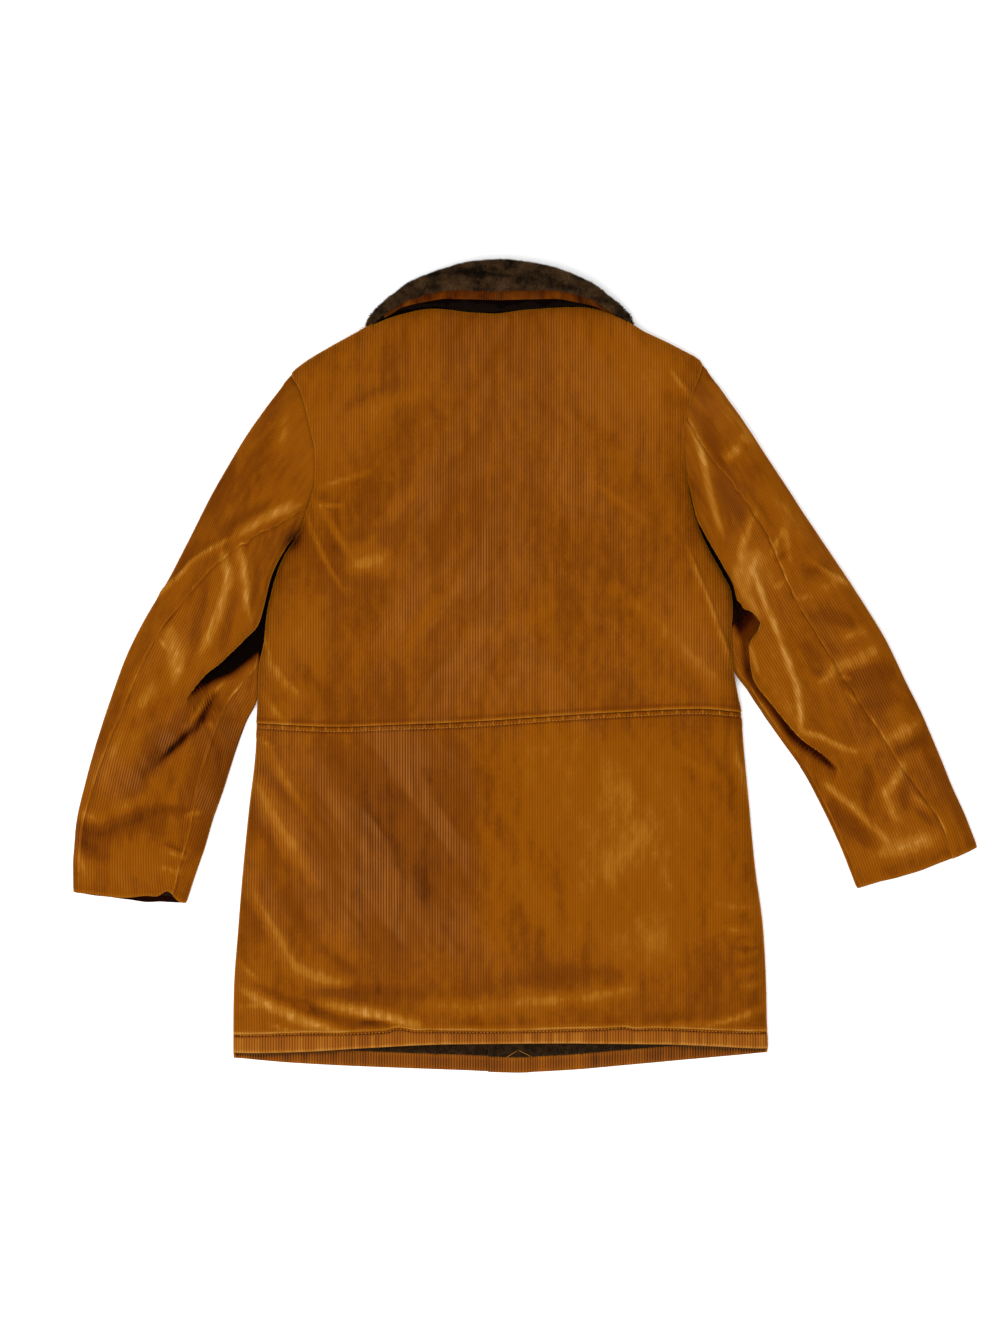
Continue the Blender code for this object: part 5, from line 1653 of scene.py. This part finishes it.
def repeated(faces, count):
    """The triangles of one small solid, again for each of its copies."""
    start = np.arange(count)[:, None, None] * (faces.max() + 1)
    return (start + faces[None]).reshape(-1, 3)


def on_grid(grid, normals, weight, count, seed, ring):
    """Places spread evenly over a grid of points, where weight is over 0, and their normals."""
    rng = np.random.default_rng(seed)
    columns = grid.shape[1]
    last = columns if ring else columns - 1
    c = np.arange(last)
    d = (c + 1) % columns
    a, b, e = grid[:-1][:, c], grid[:-1][:, d], grid[1:][:, c]
    area = np.linalg.norm(np.cross(b - a, e - a), axis=-1) * weight[:-1][:, c]
    chance = (area / area.sum()).ravel()
    pick = rng.choice(chance.size, count, p=chance)
    r, c = pick // last, pick % last
    d = (c + 1) % columns
    s, t = rng.uniform(0, 1, (2, count, 1))

    def mix(values):
        near = values[r, c] * (1 - s) + values[r, d] * s
        far = values[r + 1, c] * (1 - s) + values[r + 1, d] * s
        return near * (1 - t) + far * t

    n = mix(normals)
    return mix(grid), n / np.linalg.norm(n, axis=1, keepdims=True)


def stitch_faces():
    """Triangles of one stitch: a tip, three rings and another tip."""
    tip = 1 + len(STITCH_RINGS) * STITCH_SIDES
    faces = []
    for k in range(STITCH_SIDES):
        d = (k + 1) % STITCH_SIDES
        faces.append((0, 1 + d, 1 + k))
        for p in range(1, tip - STITCH_SIDES, STITCH_SIDES):
            q = p + STITCH_SIDES
            faces += [(p + k, p + d, q + d), (p + k, q + d, q + k)]
        faces.append((tip - STITCH_SIDES + k, tip - STITCH_SIDES + d, tip))
    return np.array(faces)


def stitch_points(first, last, n, wide):
    """Points of one stitch, a low spindle from first to last on a face whose normal is n."""
    way = (last - first) / np.linalg.norm(last - first)
    across = np.cross(n, way)
    across /= np.linalg.norm(across)
    n = np.cross(way, across)
    points = [first - n * STITCH_DIVE]
    for t, size in STITCH_RINGS:
        middle = first + (last - first) * t + n * STITCH_ARCH * math.sin(math.pi * t)
        for k in range(STITCH_SIDES):
            a = 2 * math.pi * k / STITCH_SIDES
            points.append(middle + wide * size * (across * math.cos(a) + STITCH_FLAT * n * math.sin(a)))
    return points + [last - n * STITCH_DIVE]


def stitch_row(line, normal, rng, long, wide):
    """Points of each stitch along one line of points, on a face with the given normals."""
    length = np.concatenate([[0], np.cumsum(np.linalg.norm(np.diff(line, axis=0), axis=1))])

    def along(values, at):
        return np.array([np.interp(at, length, values[:, i]) for i in range(3)])

    made = []
    at = 0.5
    while at + long < length[-1]:
        reach = long * rng.uniform(0.85, 1.1)
        n = along(normal, at + reach / 2)
        made.append(stitch_points(along(line, at), along(line, at + reach), n, wide))
        at += reach + STITCH_GAP * rng.uniform(0.8, 1.3)
    return made


def stitches(name, lines, skin, seed, long=3.0, wide=0.55):
    """Threads lying along lines of (points, normals)."""
    rng = np.random.default_rng(seed)
    made = []
    for line, normal in lines:
        made += stitch_row(line, normal, rng, long, wide)
    return piece(name, np.concatenate(made), repeated(stitch_faces(), len(made)), skin)


def fill(tree, made, inputs):
    """Links or sets the inputs of a shader node."""
    for key, value in inputs.items():
        if isinstance(value, bpy.types.NodeSocket):
            tree.links.new(value, made.inputs[key])
        else:
            made.inputs[key].default_value = value


def node(tree, kind, inputs, **settings):
    """A new shader node with its settings and inputs."""
    made = tree.nodes.new(f"ShaderNode{kind}")
    for key, value in settings.items():
        setattr(made, key, value)
    fill(tree, made, inputs)
    return made


def kept_value(tree, name):
    """A value kept at the points of the mesh."""
    return node(tree, "Attribute", {}, attribute_name=name).outputs["Fac"]


def object_place(tree):
    """Place on the object's own axes."""
    return node(tree, "TexCoord", {}).outputs["Object"]


def add(tree, a, b):
    """The sum of two values."""
    return node(tree, "Math", {0: a, 1: b}, operation="ADD").outputs[0]


def scaled(tree, a, b, clamp=False):
    """The product of two values."""
    return node(tree, "Math", {0: a, 1: b}, operation="MULTIPLY", use_clamp=clamp).outputs[0]


def scaled_add(tree, value, scale, more):
    """A value times a scale, and something more."""
    return node(tree, "Math", {0: value, 1: scale, 2: more}, operation="MULTIPLY_ADD").outputs[0]


def stretched(tree, place, scale):
    """A place drawn out by another scale on each axis."""
    return node(tree, "VectorMath", {0: place, 1: scale}, operation="MULTIPLY").outputs[0]


def noise(tree, place, scale, detail, roughness=0.5):
    """Soft noise from 0 to 1."""
    inputs = {"Vector": place, "Scale": scale, "Detail": detail, "Roughness": roughness}
    return node(tree, "TexNoise", inputs).outputs["Fac"]


def wave(tree, place, scale, distortion, direction="X"):
    """Even bands across one axis."""
    inputs = {"Vector": place, "Scale": scale, "Distortion": distortion}
    return node(tree, "TexWave", inputs, bands_direction=direction).outputs["Fac"]


def bump(tree, height, strength, distance):
    """Normals tilted by a height."""
    return node(tree, "Bump", {"Height": height, "Strength": strength, "Distance": distance}).outputs[0]


def ramp(tree, factor, stops):
    """A colour between the given stops."""
    made = node(tree, "ValToRGB", {"Fac": factor})
    made.color_ramp.interpolation = "EASE"
    while len(made.color_ramp.elements) < len(stops):
        made.color_ramp.elements.new(0.5)
    for element, (place, colour) in zip(made.color_ramp.elements, stops):
        element.position = place
        element.color = (*colour, 1)
    return made.outputs["Color"]


def blend(tree, factor, colour, other, kind="MIX"):
    """A colour mixed with another one."""
    inputs = {0: factor, 6: colour, 7: (*other, 1)}
    return node(tree, "Mix", inputs, data_type="RGBA", blend_type=kind).outputs[2]


def start_material(name):
    """A new material, its nodes and its shader."""
    made = bpy.data.materials.new(name)
    made.use_nodes = True
    return made, made.node_tree, made.node_tree.nodes["Principled BSDF"]


def corduroy(name):
    """Cotton corduroy: golden crests with painted pale sheen, painted rust shade between them, a nap that
    brightens at a slant.
    """
    made, tree, shader = start_material(name)
    across, along, crest, rose, kept_tone = [
        kept_value(tree, key) for key in ("across", "along", "crest", "rose", "tone")
    ]
    place = node(tree, "CombineXYZ", {0: across, 1: along}).outputs[0]
    fibre = noise(tree, stretched(tree, place, (1.3, 0.22, 1)), 1.0, 4.0)
    wear_and_highlight = noise(tree, stretched(tree, place, (0.09, 0.022, 1)), 1.0, 5.0, 0.6)
    tone = add(tree, scaled_add(tree, fibre, 0.20, -0.10), kept_tone)
    tone = add(tree, tone, scaled_add(tree, wear_and_highlight, 0.10, -0.05))
    # painted shade in the grooves, then pale lines of painted sheen on the crests
    groove = scaled(tree, scaled_add(tree, crest, -1.0, 1.0), scaled_add(tree, rose, 0.5, 0.5))
    colour = blend(tree, groove, ramp(tree, tone, CORDUROY_TONES), GROOVE_TONE, "MULTIPLY")
    colour = blend(tree, scaled(tree, scaled(tree, rose, crest), 0.78), colour, PALE_TONE)
    fill(tree, shader, {
        "Base Color": colour,
        "Normal": bump(tree, fibre, 0.5, 0.0005),
        "Roughness": node(tree, "MapRange", {"Value": fibre, 3: 0.74, 4: 0.94}).outputs[0],
        "Specular IOR Level": 0.01,
        "Sheen Weight": scaled(tree, tone, 0.65, True),
        "Sheen Roughness": 0.38,
        "Sheen Tint": (1.0, 0.37, 0.01, 1),
    })
    return made


def pile_skin(name, root, tip):
    """Plush pile: dark between the tufts, browner at their tips."""
    made, tree, shader = start_material(name)
    where = object_place(tree)
    clumps = noise(tree, where, 150.0, 6.0, 0.65)
    fine = noise(tree, where, 900.0, 3.0)
    shade = scaled(tree, kept_value(tree, "tip"), kept_value(tree, "shade"))
    shade = add(tree, scaled_add(tree, shade, 0.55, -0.05), scaled(tree, clumps, 0.65))
    middle = [(a + b) / 2 for a, b in zip(root, tip)]
    fill(tree, shader, {
        "Base Color": ramp(tree, shade, ((0.15, root), (0.55, middle), (0.95, tip))),
        "Normal": bump(tree, add(tree, clumps, fine), 0.8, 0.002),
        "Roughness": 0.95,
        "Specular IOR Level": 0.03,
        "Sheen Weight": 0.04,
        "Sheen Roughness": 0.5,
        "Sheen Tint": (0.75, 0.5, 0.3, 1),
    })
    return made


def thread_skin(name):
    """Sewing thread with its twist."""
    made, tree, shader = start_material(name)
    where = object_place(tree)
    twist = wave(tree, where, 700.0, 1.5)
    shade = add(tree, scaled_add(tree, twist, 0.25, 0.5), noise(tree, where, 90.0, 3.0))
    fill(tree, shader, {
        "Base Color": ramp(tree, shade, ((0.3, (0.17, 0.048, 0.002)), (0.8, (0.32, 0.12, 0.012)))),
        "Normal": bump(tree, twist, 0.6, 0.0002),
        "Roughness": 0.7,
        "Specular IOR Level": 0.1,
    })
    return made


def lining_skin(name):
    """Plain-woven sleeve lining, kept near black so that it paints the shade in a cuff's mouth."""
    made, tree, shader = start_material(name)
    where = object_place(tree)
    weave = scaled(tree, *[wave(tree, where, 320.0, 0.6, axis) for axis in "XY"])
    shade = add(tree, scaled(tree, weave, 0.4), noise(tree, where, 60.0, 4.0))
    fill(tree, shader, {
        "Base Color": ramp(tree, shade, ((0.3, (0.003, 0.0012, 0.0005)), (0.9, (0.012, 0.006, 0.0025)))),
        "Normal": bump(tree, weave, 0.4, 0.0003),
        "Roughness": 0.7,
        "Specular IOR Level": 0.02,
    })
    return made


def floor_skin(name):
    """Pale matt paper."""
    made, tree, shader = start_material(name)
    tone = noise(tree, object_place(tree), 3.0, 3.0)
    fill(tree, shader, {
        "Base Color": ramp(tree, tone, ((0.3, (0.90, 0.90, 0.90)), (0.7, (0.93, 0.93, 0.93)))),
        "Roughness": 0.9,
        "Specular IOR Level": 0.1,
    })
    return made


def declare(made, node_name):
    """Hides the imported part of the given node, which the piece stands in for; the piece itself is not used.
    """
    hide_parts(node_name)


def light(name, place, size, power):
    """A round soft light that looks at the middle of the coat."""
    data = bpy.data.lights.new(name, "AREA")
    data.shape = "DISK"
    data.size = size
    data.energy = power
    lamp = bpy.data.objects.new(name, data)
    lamp.location = place
    lamp.rotation_mode = "QUATERNION"
    lamp.rotation_quaternion = (-lamp.location).to_track_quat("-Z", "Y")
    bpy.context.scene.collection.objects.link(lamp)


def paper():
    """The paper that the coat lies on."""
    mesh = bpy.data.meshes.new("floor")
    corners = [(a * PAPER_HALF, b * PAPER_HALF, 0) for a, b in ((-1, -1), (1, -1), (1, 1), (-1, 1))]
    mesh.from_pydata(corners, [], [(0, 1, 2, 3)])
    mesh.materials.append(floor_skin("floor_paper"))
    floor = bpy.data.objects.new("floor", mesh)
    floor.location = (0, 0, -PAPER_DROP)
    bpy.context.scene.collection.objects.link(floor)


def studio():
    """Paper, white surroundings, two lights, and the camera straight above, as in the photograph."""
    scene = bpy.context.scene
    paper()
    world = bpy.data.worlds.new("studio")
    world.use_nodes = True
    fill(world.node_tree, world.node_tree.nodes["Background"], {"Color": (1, 1, 1, 1), "Strength": SKY})
    scene.world = world
    for row in LIGHTS:
        light(*row)
    data = bpy.data.cameras.new("camera")
    data.lens = data.sensor_width * CAMERA_HEIGHT / (PIXEL * PHOTO[1] * MM)
    camera = bpy.data.objects.new("camera", data)
    x, y = coat(PHOTO[0] / 2, PHOTO[1] / 2)
    camera.location = ((x - CENTRE[0]) * MM, (y - CENTRE[1]) * MM, CAMERA_HEIGHT + SCALE_HEIGHT)
    scene.collection.objects.link(camera)
    scene.camera = camera
    scene.view_settings.view_transform = "Standard"


def build_back():
    """The two panels of the back and the threads sewn through them."""
    lower = back_piece("lower", 0, WAIST - 0.2, LOWER_EXTRA, SKIRT_SEED)
    upper = back_piece("upper", WAIST + 0.2, NECK, UPPER_EXTRA, SKIRT_SEED + 1)
    thread = thread_skin("thread")
    waist_row = back_line(np.linspace(*WAIST_ROW, 400), WAIST - WAIST_STITCH, WAIST_SUNK)
    hem_row = back_line(np.linspace(*HEM_ROW, 440), HEM_STITCH, HEM_SUNK)
    waist = stitches("waist_stitches", [waist_row], thread, 5)
    hem = stitches("hem_stitches", [hem_row], thread, 6)
    up = np.array([(0, 0, 1.0), (0, 0, 1.0)])
    ends = [(np.array([(*coat(*pixel), LOOSE_Z) for pixel in pair]), up) for pair in LOOSE_THREAD]
    loose = stitches("loose_thread", ends, thread, 7, LOOSE_LONG, LOOSE_WIDE)
    declare(lower, "back_lower")
    declare(upper, "back_upper")


def build_side(side, seed):
    """One front, one sleeve, and the linings that show in them."""
    sleeve = Sleeve(side)
    declare(front_piece(side, seed), f"front_{side}")
    for part in ("under", "top"):
        declare(sleeve_piece(sleeve, part, seed + 10 + len(part)), f"sleeve_{side}_{part}")
    declare(cuff_piece(sleeve), f"cuff_lining_{side}")
    pile, fur = lining_front(side, 64 + seed)
    declare(pile, f"lining_front_{side}")


def build():
    """The whole coat and its surroundings."""
    studio()
    build_back()
    build_side("left", 3)
    build_side("right", 4)
    pile, fur = lining_back()
    declare(pile, "lining_back")
    pile, fur = collar_top()
    declare(pile, "collar_top")
    declare(collar_under(), "collar_under")


build()
